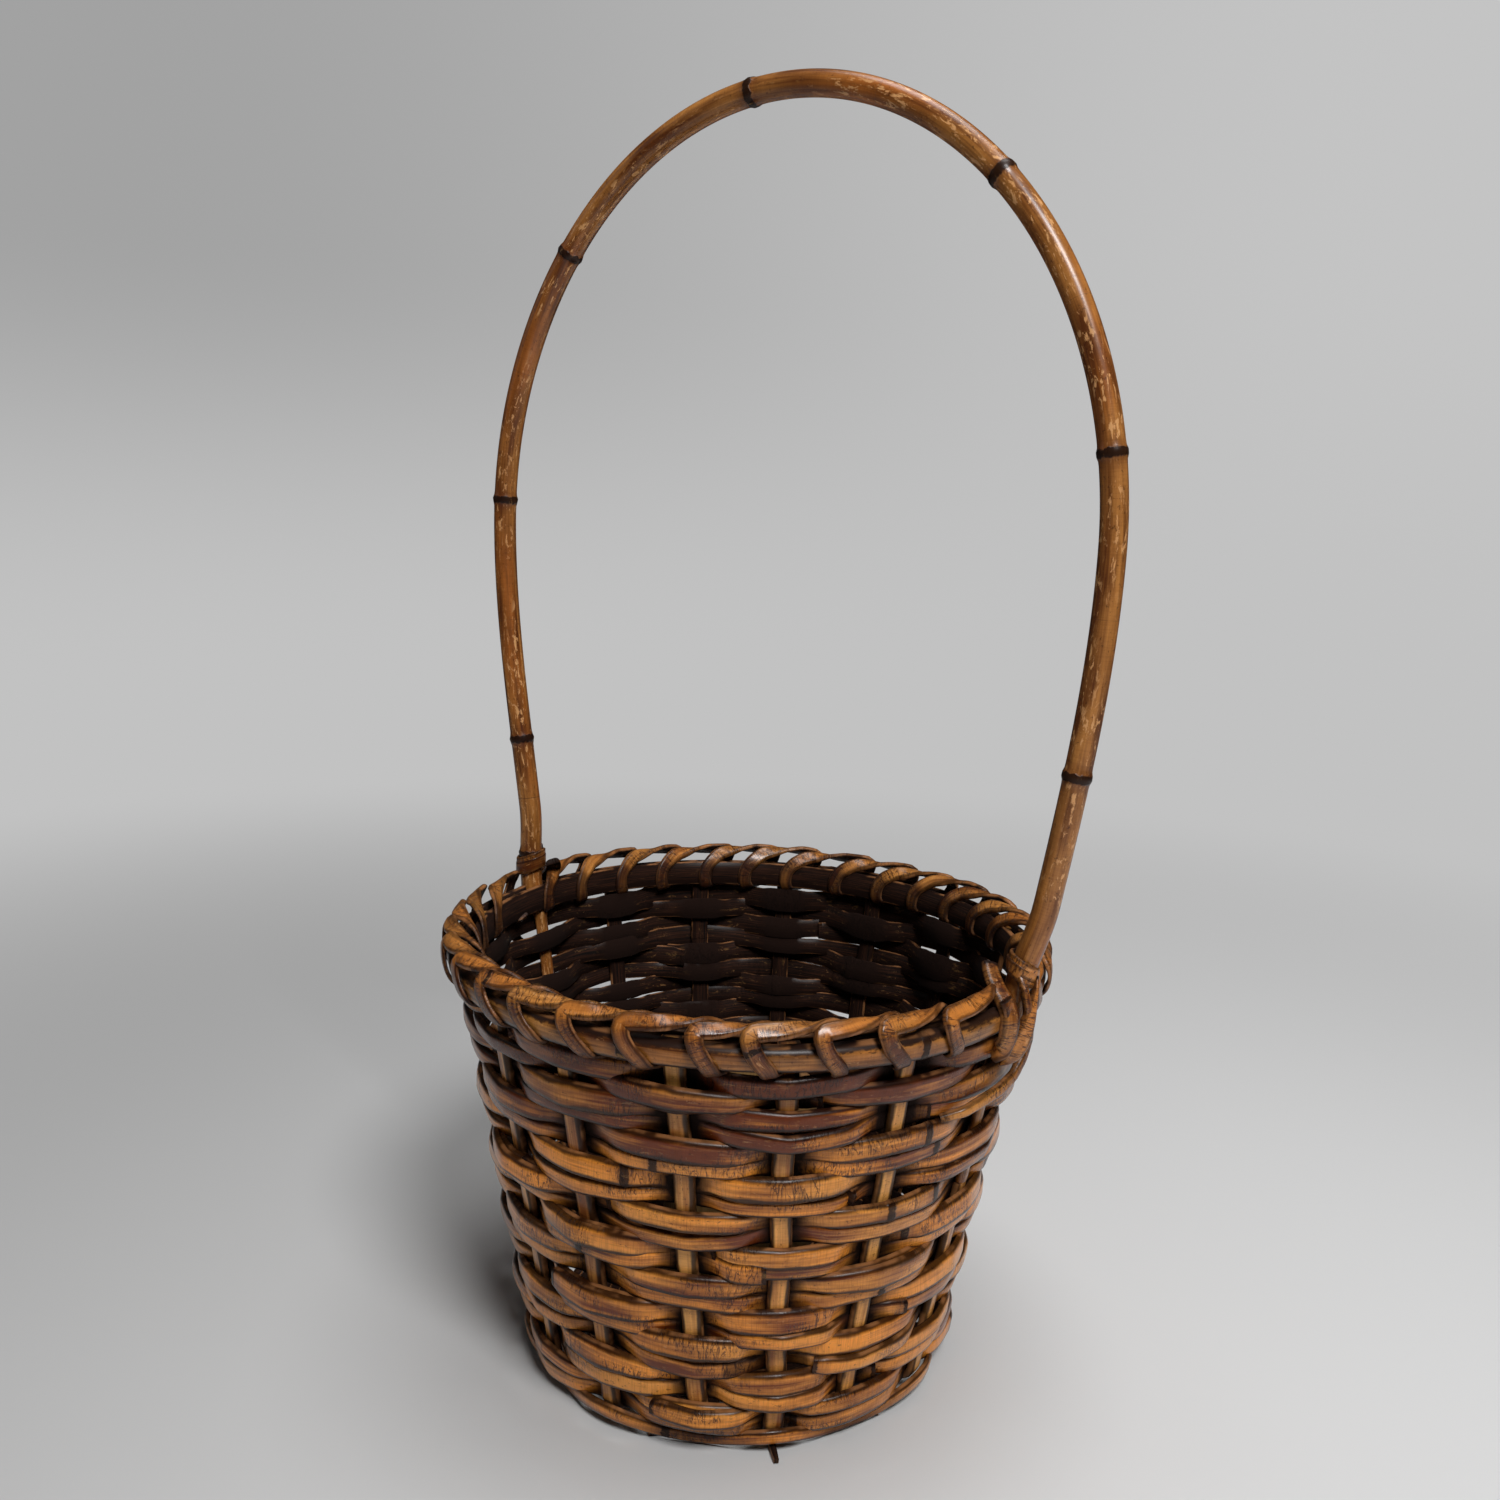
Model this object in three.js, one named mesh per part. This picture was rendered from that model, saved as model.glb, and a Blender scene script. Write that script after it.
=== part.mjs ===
// Ikebana basket: a round flower basket woven from split cane on sixteen stakes, with a tall
// arched handle of bamboo culm and a loose bamboo water tube that stands inside.
// Millimetres, +Z up. The origin is on the axis, on the surface that the basket stands on.
// The handle's arch lies in the XZ plane, and the maker's front faces -Y.
import * as THREE from "three";

// Driving dimensions of the wall
const stakeCount = 16;
// How far each stake stands away from its even place, in degrees: it was set by eye
const stakeDrift = [0, 0, 0, 0, 0, 0, 0, 0, 0, 0, 0, 0, -1.1, 0.4, -3.3, -5.6];
const stakeWidth = 6.8;
const stakeThickness = 3.6;
const footRadius = 83.8; // stake centre line, on the floor plane
const rimRadius = 112.4; // stake centre line, at the underside of the hoops
const weaverHeight = 6.7;
const weaverThickness = 3.8;
const wovenRows = 22;
const doubleBands = 10; // pairs of weavers that go over and under together
const weaveGap = 0.4; // between a weaver and the stake that it passes
const flatMargin = 0.8; // how far a weaver runs flat past the edge of a stake
const clearance = 0.3;
const shoulderOut = 0.15; // share of a half round's thickness at which its edges turn in
const shoulderUp = 0.46; // share of its height there

// Driving dimensions of the base
const slatWidth = 8;
const slatThickness = 2.2;
const slatSpacing = 42;
const slatHeading = -47; // degrees from +X
const slatTip = 93; // how far the middle slat pokes out from the axis
const baseStripThickness = 1.2;
const baseStripGap = 1;
const baseRounds = 3;
const spokeThickness = 2.8;
const heartRadius = 36;

// Driving dimensions of the rim
const outerHoopHeight = 10;
const outerHoopThickness = 5.2;
const innerHoopHeight = 11;
const innerHoopThickness = 2.6;
const stakeBelowHoopTop = 0.8;
const lashingWidth = 5.5;
const lashingThickness = 1.2;
const lashingGap = 0.6;
const lashingRise = 2.5; // how far the strip arches above the rim on its way over
const lashingCorner = 1.6;

// Driving dimensions of the handle
const culmRadius = 4.8;
const archHalfWidth = 137; // centre line, where the arch is widest
const archShoulder = 336.5; // height of the widest place
const archTop = 499.5; // centre line
const archLean = 3; // the whole arch leans this much towards +X
const legLean = 4; // and its legs this much, above the bindings
const legLeanHeight = 210;
const footSlope = 0.12;
const tongueLength = 65;
const tongueTaper = 1.9;
const firstCulmNode = 79; // along the culm from its left foot
const culmNodeSpacing = 105;
const culmNodeSwell = 0.6;
const culmNodeHalfLength = 3;
const bindingHeight = 9;
const bindingThickness = 1.4;
const bindingAboveHoops = 4.3;

// Driving dimensions of the water tube
const tubeRadius = 32;
const tubeHeight = 100;
const tubeWall = 5;
const tubeFloor = 9;
const edgeChamfer = 1;

// Heights that follow from the pieces below them
const spokeBottom = slatThickness + clearance + baseStripThickness + clearance;
const spokeTop = spokeBottom + spokeThickness;
const rowPitch = weaverHeight + clearance;
const firstRowBottom = spokeTop + clearance;
const lastRowTop = firstRowBottom + wovenRows * rowPitch - clearance;
const hoopBottom = lastRowTop + 2 * lashingGap + lashingThickness;
const outerHoopTop = hoopBottom + outerHoopHeight;
const innerHoopTop = hoopBottom + innerHoopHeight;
const stakeTop = outerHoopTop - stakeBelowHoopTop;
const tongueBottom = lastRowTop - tongueLength;

// Angles and radii that every piece of the wall shares
const fullTurn = 2 * Math.PI;
const stakeStep = fullTurn / stakeCount;
const flare = (rimRadius - footRadius) / hoopBottom;
const wallRadius = (z) => footRadius + flare * z;
const weaveOffset = stakeThickness / 2 + weaveGap + weaverThickness / 2;
const hoopGap = stakeThickness / 2 + clearance;

// The angle of a stake, or of a place between two stakes, from its number
function turnAt(place) {
  const below = Math.floor(place);
  const share = place - below;
  const drift = stakeDrift[below % stakeCount] * (1 - share)
    + stakeDrift[(below + 1) % stakeCount] * share;
  return place * stakeStep + THREE.MathUtils.degToRad(drift);
}

// A point at an angle round the axis, a radius and a height
function polar(angle, radius, z) {
  return new THREE.Vector3(radius * Math.cos(angle), radius * Math.sin(angle), z);
}

// A closed solid through a row of outlines with equal numbers of points. A closed row joins its
// last outline to its first, and an open one gets a flat cap at each end.
function sweep(outlines, closed) {
  const count = outlines[0].length;
  const positions = outlines.flat().flatMap((p) => [p.x, p.y, p.z]);
  const index = [];
  const joins = closed ? outlines.length : outlines.length - 1;
  for (let i = 0; i < joins; i++) {
    const here = i * count;
    const next = ((i + 1) % outlines.length) * count;
    for (let j = 0; j < count; j++) {
      const k = (j + 1) % count;
      index.push(here + j, next + k, here + k, here + j, next + j, next + k);
    }
  }
  if (!closed) {
    const last = (outlines.length - 1) * count;
    for (let j = 1; j < count - 1; j++) {
      index.push(0, j, j + 1, last, last + j + 1, last + j);
    }
  }
  const geometry = new THREE.BufferGeometry();
  geometry.setAttribute("position", new THREE.Float32BufferAttribute(positions, 3));
  geometry.setIndex(index);
  geometry.computeVertexNormals();
  return geometry;
}

// The outline of a strip at one angle: its points are offsets out from the centre line and up,
// and it leans with the wall, so that its inner face lies along the stakes.
function leaningOutline(shape, angle, radius, z) {
  return shape.map(([out, up]) => polar(angle, radius + out + flare * up, z + up));
}

// A half round strip: flat towards the axis, rounded outwards
function halfRound(thickness, height) {
  const shoulder = shoulderOut * thickness;
  return [
    [-thickness / 2, -height / 2],
    [shoulder, -shoulderUp * height],
    [thickness / 2, 0],
    [shoulder, shoulderUp * height],
    [-thickness / 2, height / 2],
  ];
}

function flatStrip(thickness, height) {
  return [
    [-thickness / 2, -height / 2],
    [thickness / 2, -height / 2],
    [thickness / 2, height / 2],
    [-thickness / 2, height / 2],
  ];
}

const basket = new THREE.Group();

function add(name, geometry, material) {
  const mesh = new THREE.Mesh(geometry, material);
  mesh.name = name;
  basket.add(mesh);
  return mesh;
}

function finish(color, roughness) {
  return new THREE.MeshStandardMaterial({ color, roughness, metalness: 0 });
}

// Stakes: flat rods that run in along the base as spokes, turn up at the foot and rise between
// the two hoops. The two under the handle stop short, where its tongues take over.
function stakeGeometry(top) {
  const half = stakeThickness / 2;
  const side = new THREE.Shape([
    new THREE.Vector2(heartRadius + clearance, spokeBottom),
    new THREE.Vector2(wallRadius(spokeBottom) + half, spokeBottom),
    new THREE.Vector2(wallRadius(top) + half, top),
    new THREE.Vector2(wallRadius(top) - half, top),
    new THREE.Vector2(wallRadius(spokeTop) - half, spokeTop),
    new THREE.Vector2(heartRadius + clearance, spokeTop),
  ]);
  const geometry = new THREE.ExtrudeGeometry(side, { depth: stakeWidth, bevelEnabled: false });
  return geometry.translate(0, 0, -stakeWidth / 2).rotateX(Math.PI / 2);
}

const stakeFinish = finish(0xbe8241, 0.5);
for (let k = 0; k < stakeCount; k++) {
  const underHandle = k % (stakeCount / 2) === 0;
  const top = underHandle ? tongueBottom - clearance : stakeTop;
  const stake = add(`stake_${String(k + 1).padStart(2, "0")}`, stakeGeometry(top), stakeFinish);
  stake.rotation.z = turnAt(k);
}

// Weavers: closed rounds of half round cane that pass outside one stake and inside the next.
// They lie in pairs, and each band goes the other way from the band below. The top two bands
// have one weaver each.
function bandOf(row) {
  const pairedRows = 2 * doubleBands;
  return row < pairedRows ? Math.floor(row / 2) : doubleBands + row - pairedRows;
}

function weaverGeometry(row) {
  const z = firstRowBottom + row * rowPitch + weaverHeight / 2;
  const shape = halfRound(weaverThickness, weaverHeight);
  const outlines = [];
  for (let k = 0; k < stakeCount; k++) {
    const outside = (k + bandOf(row)) % 2 === 1 ? 1 : -1;
    const radius = wallRadius(z) + outside * weaveOffset;
    const halfFlat = Math.asin((stakeWidth / 2 + flatMargin) / radius);
    outlines.push(leaningOutline(shape, turnAt(k) - halfFlat, radius, z));
    outlines.push(leaningOutline(shape, turnAt(k) + halfFlat, radius, z));
  }
  return sweep(outlines, true);
}

const weaverFinish = finish(0x9a5c29, 0.45);
for (let row = 0; row < wovenRows; row++) {
  add(`weaver_${String(row + 1).padStart(2, "0")}`, weaverGeometry(row), weaverFinish);
}

// Foot round: the lowest strand, which lies outside all the stakes where they turn up
const footBottom = slatThickness + clearance;
const footHeight = firstRowBottom - clearance - footBottom;
const footMiddle = footBottom + footHeight / 2;
const footOutlines = [];
for (let k = 0; k < 2 * stakeCount; k++) {
  const radius = wallRadius(footMiddle) + weaveOffset;
  const shape = halfRound(weaverThickness, footHeight);
  footOutlines.push(leaningOutline(shape, turnAt(k / 2), radius, footMiddle));
}
add("foot_round", sweep(footOutlines, true), weaverFinish);

// Base rounds: flat strips that weave over and under the spokes
const baseInner = heartRadius + clearance + baseStripGap;
const baseOuter = wallRadius(firstRowBottom) - weaveOffset - weaverThickness / 2 - baseStripGap;
const baseStep = (baseOuter - baseInner) / baseRounds;
const baseWave = (spokeThickness + baseStripThickness) / 2 + clearance;
const baseFinish = finish(0x7a4a24, 0.6);

function baseRoundGeometry(round) {
  const inner = baseInner + round * baseStep;
  const width = baseStep - baseStripGap;
  const halfFlat = Math.asin((stakeWidth / 2 + flatMargin) / inner);
  const outlines = [];
  for (let k = 0; k < stakeCount; k++) {
    const above = (k + round) % 2 === 0 ? 1 : -1;
    const z = spokeBottom + spokeThickness / 2 + above * baseWave;
    for (const angle of [turnAt(k) - halfFlat, turnAt(k) + halfFlat]) {
      const shape = flatStrip(width, baseStripThickness);
      outlines.push(shape.map(([out, up]) => polar(angle, inner + width / 2 + out, z + up)));
    }
  }
  return sweep(outlines, true);
}

for (let round = 0; round < baseRounds; round++) {
  add(`base_round_${round + 1}`, baseRoundGeometry(round), baseFinish);
}

// Heart of the base: the close worked middle that holds the inner ends of the spokes
const heartTop = spokeTop + clearance;
const heartProfile = [
  new THREE.Vector2(0, footBottom),
  new THREE.Vector2(heartRadius - edgeChamfer, footBottom),
  new THREE.Vector2(heartRadius, footBottom + edgeChamfer),
  new THREE.Vector2(heartRadius, heartTop - edgeChamfer),
  new THREE.Vector2(heartRadius - edgeChamfer, heartTop),
  new THREE.Vector2(0, heartTop),
];
add("base_heart", new THREE.LatheGeometry(heartProfile, 32).rotateX(Math.PI / 2), baseFinish);

// Base slats: three bamboo slats under the base, which the basket stands on. The middle one
// pokes out at the front.
const slatGroup = new THREE.Group();
slatGroup.rotation.z = THREE.MathUtils.degToRad(slatHeading);
basket.add(slatGroup);
const slatFinish = finish(0x5a3a20, 0.6);
const slatReach = wallRadius(0) + stakeThickness / 2;
for (let i = 0; i < 3; i++) {
  const offset = (i - 1) * slatSpacing;
  const back = Math.sqrt(slatReach ** 2 - offset ** 2);
  const front = i === 1 ? slatTip : back;
  const slat = new THREE.Mesh(
    new THREE.BoxGeometry(front + back, slatWidth, slatThickness),
    slatFinish,
  );
  slat.name = `base_slat_${i + 1}`;
  slat.position.set((front - back) / 2, offset, slatThickness / 2);
  slatGroup.add(slat);
}

// Handle: one bamboo culm bent into an arch. Below the hoops each end is split down to a flat
// tongue, which goes into the weave in place of a stake.
const footX = wallRadius(hoopBottom) - stakeThickness / 2 + culmRadius + clearance;

function halfWidthAt(z) {
  if (z >= archShoulder) {
    const rise = (z - archShoulder) / (archTop - archShoulder);
    return archHalfWidth * Math.sqrt(Math.max(0, 1 - rise * rise));
  }
  const length = archShoulder - hoopBottom;
  const u = (z - hoopBottom) / length;
  const ease = u * u * (3 - 2 * u);
  const start = u * (1 - u) * (1 - u) * footSlope * length;
  return footX + (archHalfWidth - footX) * ease + start;
}

function leanAt(z) {
  const low = THREE.MathUtils.smoothstep(z, innerHoopTop, legLeanHeight);
  const high = THREE.MathUtils.smoothstep(z, legLeanHeight, archShoulder);
  return legLean * low + (archLean - legLean) * high;
}

function archPoint(side, z) {
  return new THREE.Vector3(side * halfWidthAt(z) + leanAt(z), 0, z);
}

// Points of the arch from the left foot to the right one
const archPoints = [];
const legSteps = 12;
const bowSteps = 14;
for (let i = 0; i < legSteps; i++) {
  const z = hoopBottom + ((archShoulder - hoopBottom) * i) / legSteps;
  archPoints.push(archPoint(-1, z));
}
for (let i = 0; i <= 2 * bowSteps; i++) {
  const angle = Math.PI * (1 - i / (2 * bowSteps));
  const rise = (archTop - archShoulder) * Math.sin(angle);
  const x = archHalfWidth * Math.cos(angle) + archLean;
  archPoints.push(new THREE.Vector3(x, 0, archShoulder + rise));
}
for (let i = legSteps - 1; i >= 0; i--) {
  const z = hoopBottom + ((archShoulder - hoopBottom) * i) / legSteps;
  archPoints.push(archPoint(1, z));
}
const archCurve = new THREE.CatmullRomCurve3(archPoints);
archCurve.arcLengthDivisions = 1000;
const archLength = archCurve.getLength();

// Distances along the culm at which it has an outline, closer together at its nodes
const culmSteps = 56;
const stations = [];
for (let i = 0; i <= culmSteps; i++) {
  stations.push({ at: archLength * (i / culmSteps), swell: 0 });
}
for (let at = firstCulmNode; at < archLength - culmNodeSpacing / 2; at += culmNodeSpacing) {
  stations.push({ at: at - culmNodeHalfLength, swell: 0, node: true });
  stations.push({ at, swell: culmNodeSwell, node: true });
  stations.push({ at: at + culmNodeHalfLength, swell: 0, node: true });
}
stations.sort((a, b) => a.at - b.at);
const nodeStations = stations.filter((s) => s.node);
const tooClose = (s) => nodeStations.some((n) => Math.abs(n.at - s.at) < culmNodeHalfLength / 2);
const culmStations = stations.filter((s) => s.node || !tooClose(s));

// An outline across the handle: half its depth in the plane of the arch, half its width across
const culmSides = 10;
function handleOutline(centre, outward, halfDepth, halfWidth) {
  const outline = [];
  for (let j = 0; j < culmSides; j++) {
    const angle = (fullTurn * j) / culmSides;
    const point = centre.clone().addScaledVector(outward, halfDepth * Math.cos(angle));
    outline.push(point.setY(halfWidth * Math.sin(angle)));
  }
  return outline;
}

function tongueOutline(side, z) {
  const centre = new THREE.Vector3(side * wallRadius(z), 0, z);
  return handleOutline(centre, new THREE.Vector3(side, 0, 0), stakeThickness / 2, stakeWidth / 2);
}

const handleOutlines = [
  tongueOutline(-1, tongueBottom),
  tongueOutline(-1, hoopBottom - tongueTaper),
];
for (const { at, swell } of culmStations) {
  const u = at / archLength;
  const tangent = archCurve.getTangentAt(u);
  const outward = new THREE.Vector3(-tangent.z, 0, tangent.x);
  const radius = culmRadius + swell;
  handleOutlines.push(handleOutline(archCurve.getPointAt(u), outward, radius, radius));
}
handleOutlines.push(tongueOutline(1, hoopBottom - tongueTaper), tongueOutline(1, tongueBottom));
add("handle", sweep(handleOutlines, false), finish(0x965a28, 0.35));

// Outer hoop: two half round lengths whose ends meet the feet of the handle
const hoopFinish = finish(0xa56e37, 0.45);
const outerHoopMiddle = hoopBottom + outerHoopHeight / 2;
const outerHoopRadius = wallRadius(outerHoopMiddle) + hoopGap + outerHoopThickness / 2;
const hoopStart = Math.asin((culmRadius + 2 * clearance) / outerHoopRadius);
const hoopSteps = 24;

function outerHoopGeometry(from) {
  const shape = halfRound(outerHoopThickness, outerHoopHeight);
  const outlines = [];
  for (let i = 0; i <= hoopSteps; i++) {
    const angle = from + hoopStart + ((Math.PI - 2 * hoopStart) * i) / hoopSteps;
    outlines.push(leaningOutline(shape, angle, outerHoopRadius, outerHoopMiddle));
  }
  return sweep(outlines, false);
}

add("outer_hoop_back", outerHoopGeometry(0), hoopFinish);
add("outer_hoop_front", outerHoopGeometry(Math.PI), hoopFinish);

// Inner hoop: one flat split length, closed on itself
const innerHoopMiddle = hoopBottom + innerHoopHeight / 2;
const innerHoopRadius = wallRadius(innerHoopMiddle) - hoopGap - innerHoopThickness / 2;
const innerOutlines = [];
for (let i = 0; i < 2 * hoopSteps; i++) {
  const shape = flatStrip(innerHoopThickness, innerHoopHeight);
  const angle = (Math.PI * i) / hoopSteps;
  innerOutlines.push(leaningOutline(shape, angle, innerHoopRadius, innerHoopMiddle));
}
add("inner_hoop", sweep(innerOutlines, true), finish(0x3c2826, 0.6));

// Rim lashing: on each half of the rim one flat strip binds both hoops with two loops between
// each pair of stakes. It goes down outside the hoops, in below them, up inside and arches
// back over the top to its next loop.
const lashReach = lashingGap + lashingThickness / 2;
const lashBottom = hoopBottom - lashReach;
const lashTop = innerHoopTop + lashReach;
const lashOut = hoopGap + outerHoopThickness + lashReach;
const lashIn = -(hoopGap + innerHoopThickness + lashReach);
const loopsPerHalf = stakeCount;

// The strip's centre line at a corner of its loop, with the direction that faces away from the hoops
function cornerPoints(angle, out, z, outDirection, upDirection, reverse) {
  const points = [];
  for (const turn of [0, 0.5, 1]) {
    const bend = (Math.PI / 2) * (reverse ? 1 - turn : turn);
    const faceOut = outDirection * Math.cos(bend);
    const faceUp = upDirection * Math.sin(bend);
    const radial = out - outDirection * lashingCorner + lashingCorner * faceOut;
    const height = z - upDirection * lashingCorner + lashingCorner * faceUp;
    const facing = polar(angle, faceOut, faceUp);
    points.push({ at: polar(angle, wallRadius(height) + radial, height), facing });
  }
  return points;
}

function lashingPath(firstStake) {
  const path = [];
  for (let loop = loopsPerHalf - 1; loop >= 0; loop--) {
    const place = firstStake + (loop + 0.5) / 2;
    const angle = turnAt(place);
    path.push(...cornerPoints(angle, lashOut, lashTop, 1, 1, true));
    path.push(...cornerPoints(angle, lashOut, lashBottom, 1, -1, false));
    path.push(...cornerPoints(angle, lashIn, lashBottom, -1, -1, true));
    path.push(...cornerPoints(angle, lashIn, lashTop, -1, 1, false));
    if (loop > 0) {
      const middle = turnAt(place - 1 / 4);
      const over = polar(middle, wallRadius(lashTop), lashTop + lashingRise);
      path.push({ at: over, facing: new THREE.Vector3(0, 0, 1) });
    }
  }
  return path;
}

function lashingGeometry(path) {
  const outlines = path.map(({ at, facing }, i) => {
    const before = path[Math.max(0, i - 1)].at;
    const after = path[Math.min(path.length - 1, i + 1)].at;
    const along = after.clone().sub(before).normalize();
    const across = along.clone().cross(facing).normalize();
    const up = across.clone().cross(along);
    return flatStrip(lashingWidth, lashingThickness).map(([side, rise]) =>
      at.clone().addScaledVector(across, side).addScaledVector(up, rise),
    );
  });
  return sweep(outlines, false);
}

// Least gap of the winding to itself: points a step apart along the strip, each against all that
// lie more than two hoop heights further on, less the strip's width
const gapStep = 2;
function leastGap(path) {
  const line = new THREE.CurvePath();
  for (let i = 1; i < path.length; i++) {
    line.add(new THREE.LineCurve3(path[i - 1].at, path[i].at));
  }
  const points = line.getSpacedPoints(Math.round(line.getLength() / gapStep));
  const skip = Math.round((2 * innerHoopHeight) / gapStep);
  let least = Infinity;
  for (let i = 0; i < points.length; i++) {
    for (let j = i + skip; j < points.length; j++) {
      least = Math.min(least, points[i].distanceTo(points[j]));
    }
  }
  return least - lashingWidth;
}

const lashingFinish = finish(0xaa6e3c, 0.45);
for (const [name, firstStake] of [["rim_lashing_back", 0], ["rim_lashing_front", stakeCount / 2]]) {
  const path = lashingPath(firstStake);
  add(name, lashingGeometry(path), lashingFinish);
  console.log(`${name}: least gap to itself ${leastGap(path).toFixed(2)} mm`);
}

// Foot bindings: a wide strip wound round each foot of the culm, just above the rim
for (const [name, side] of [["foot_binding_left", -1], ["foot_binding_right", 1]]) {
  const z = lashTop + bindingAboveHoops + bindingHeight / 2;
  const inner = culmRadius + clearance;
  const outer = inner + bindingThickness;
  const profile = [
    [inner, -bindingHeight / 2],
    [outer, -bindingHeight / 2],
    [outer, bindingHeight / 2],
    [inner, bindingHeight / 2],
    [inner, -bindingHeight / 2],
  ].map(([x, y]) => new THREE.Vector2(x, y));
  const binding = add(name, new THREE.LatheGeometry(profile, 20), lashingFinish);
  binding.position.copy(archPoint(side, z));
  const along = archPoint(side, z + 1).sub(archPoint(side, z - 1)).normalize();
  binding.quaternion.setFromUnitVectors(new THREE.Vector3(0, 1, 0), along);
}

// Water tube: a length of bamboo cut just below a node, which closes it. It stands loose on the
// heart of the base and lifts out.
const tubeBottom = heartTop + clearance;
const tubeProfile = [
  new THREE.Vector2(0, 0),
  new THREE.Vector2(tubeRadius - edgeChamfer, 0),
  new THREE.Vector2(tubeRadius, edgeChamfer),
  new THREE.Vector2(tubeRadius, tubeHeight - edgeChamfer),
  new THREE.Vector2(tubeRadius - edgeChamfer, tubeHeight),
  new THREE.Vector2(tubeRadius - tubeWall, tubeHeight),
  new THREE.Vector2(tubeRadius - tubeWall, tubeFloor),
  new THREE.Vector2(0, tubeFloor),
];
const tubeGeometry = new THREE.LatheGeometry(tubeProfile, 32).rotateX(Math.PI / 2);
add("water_tube", tubeGeometry, finish(0x8a7a4a, 0.5)).position.z = tubeBottom;

export default basket;
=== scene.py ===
import math
import random

import bmesh
import bpy
import numpy as np
from mathutils import Matrix, Vector


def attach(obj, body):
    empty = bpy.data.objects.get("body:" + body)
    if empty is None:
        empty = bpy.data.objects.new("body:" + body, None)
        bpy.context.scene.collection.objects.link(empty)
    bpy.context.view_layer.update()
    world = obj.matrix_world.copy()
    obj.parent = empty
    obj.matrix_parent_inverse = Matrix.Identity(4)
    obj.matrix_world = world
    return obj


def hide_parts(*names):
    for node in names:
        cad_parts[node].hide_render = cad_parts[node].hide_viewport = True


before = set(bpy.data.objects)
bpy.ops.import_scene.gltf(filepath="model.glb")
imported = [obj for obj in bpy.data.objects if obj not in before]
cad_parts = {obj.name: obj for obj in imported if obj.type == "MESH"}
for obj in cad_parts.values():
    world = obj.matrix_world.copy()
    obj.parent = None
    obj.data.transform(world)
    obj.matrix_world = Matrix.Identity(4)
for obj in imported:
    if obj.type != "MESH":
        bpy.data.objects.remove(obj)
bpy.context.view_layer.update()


# Stakes. Sixteen lengths of thick split cane laid out like spokes, soaked and bent up at the
# foot. They carry the wall, so they stay visible as short pale uprights between the bands,
# rounded and rubbed on the outside and split flat on the inside.
stake_count = 16
foot_radius, hoop_bottom = 0.0838, 0.1632
flare = 0.0286 / hoop_bottom
stake_top, tongue_bottom, tongue_gap = 0.1724, 0.0958, 0.0003
stake_width, stake_thickness, stake_sway = 0.0076, 0.0031, 0.0007
spoke_height, spoke_inner, spoke_thick = 0.0054, 0.0085, 0.76
# Inside the heart of the base the spokes are pared narrower, down to this share at their ends
pared_reach, pared_share = 0.028, 0.34
bend_radius, flat_below, dark_below = 0.0065, 0.006, 0.01
# How far each stake stands away from its even place at the foot and at the rim, in degrees
foot_drift = [0, 0.6, -0.7, 0.4, 0.9, -0.5, 0.6, 0.3, 0, -0.6, 0.7, 0.2, 0.0, 2.4, -1.7, -6.0]
rim_drift = [0, -0.5, 0.6, -0.8, -0.3, 0.7, -0.6, 0.5, 0, 0.4, -0.9, 0.6, -2.1, -2.4, -5.2, -5.0]
chance = random.Random(16)


def select_edges(test):
    """In edit mode, selects only the edges whose two ends pass the test."""
    bpy.ops.mesh.select_all(action="DESELECT")
    shape = bmesh.from_edit_mesh(bpy.context.object.data)
    for edge in shape.edges:
        if test(*(corner.co for corner in edge.verts)):
            edge.select_set(True)
    bmesh.update_edit_mesh(bpy.context.object.data)


def cut_across(cuts):
    """In edit mode, cuts a long piece across into short rings, in two goes."""
    for count in cuts:
        select_edges(lambda a, b: abs(a.x - b.x) > abs(a.y - b.y) + abs(a.z - b.z))
        bpy.ops.mesh.subdivide(number_cuts=count)


def unroll(blank, girth_radius=None):
    """Lays the piece's surface out flat in real sizes: along it, and across or round it."""
    mesh = blank.data
    mesh.uv_layers[0].name = "run"
    laid = mesh.uv_layers[0].data
    for face in mesh.polygons:
        middle = math.atan2(face.center.y, face.center.z)
        for corner in face.loop_indices:
            spot = mesh.vertices[mesh.loops[corner].vertex_index].co
            round_to = spot.y
            if girth_radius:
                turned = math.atan2(spot.y, spot.z) - middle
                turned = (turned + math.pi) % math.tau - math.pi
                round_to = girth_radius * (middle + turned)
            laid[corner].uv = (spot.x, round_to)


def split_cane(name, length, width, thickness, round_over, edge_break, cuts):
    """A straight length of cane along X with its skin up, split, rounded over and marked out."""
    bpy.ops.object.select_all(action="DESELECT")
    middle = (length / 2, 0, 0)
    bpy.ops.mesh.primitive_cube_add(size=1, location=middle, scale=(length, width, thickness))
    bpy.ops.object.transform_apply(location=True, rotation=False, scale=True)
    blank = bpy.context.object
    blank.name = name
    underside = -0.49 * thickness
    bpy.ops.object.mode_set(mode="EDIT")
    bpy.ops.mesh.select_mode(type="EDGE")
    select_edges(lambda a, b: abs(a.x - b.x) > length / 2 and min(a.z, b.z) > 0)
    bpy.ops.mesh.bevel(offset=round_over, segments=4, affect="EDGES")
    select_edges(lambda a, b: abs(a.x - b.x) > length / 2 and max(a.z, b.z) < underside)
    bpy.ops.mesh.bevel(offset=edge_break, segments=1, affect="EDGES")
    cut_across(cuts)
    bpy.ops.object.mode_set(mode="OBJECT")
    bpy.ops.object.shade_smooth_by_angle(angle=math.radians(50))
    unroll(blank)
    return blank


def points_at(*axes):
    """Points from their coordinates, one list or one value for each axis."""
    return np.stack(np.broadcast_arrays(*axes), axis=-1)


def ring(angle, radius, height):
    """Points at an angle round the basket, a distance from its axis and a height."""
    return points_at(radius * np.cos(angle), radius * np.sin(angle), height)


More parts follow.
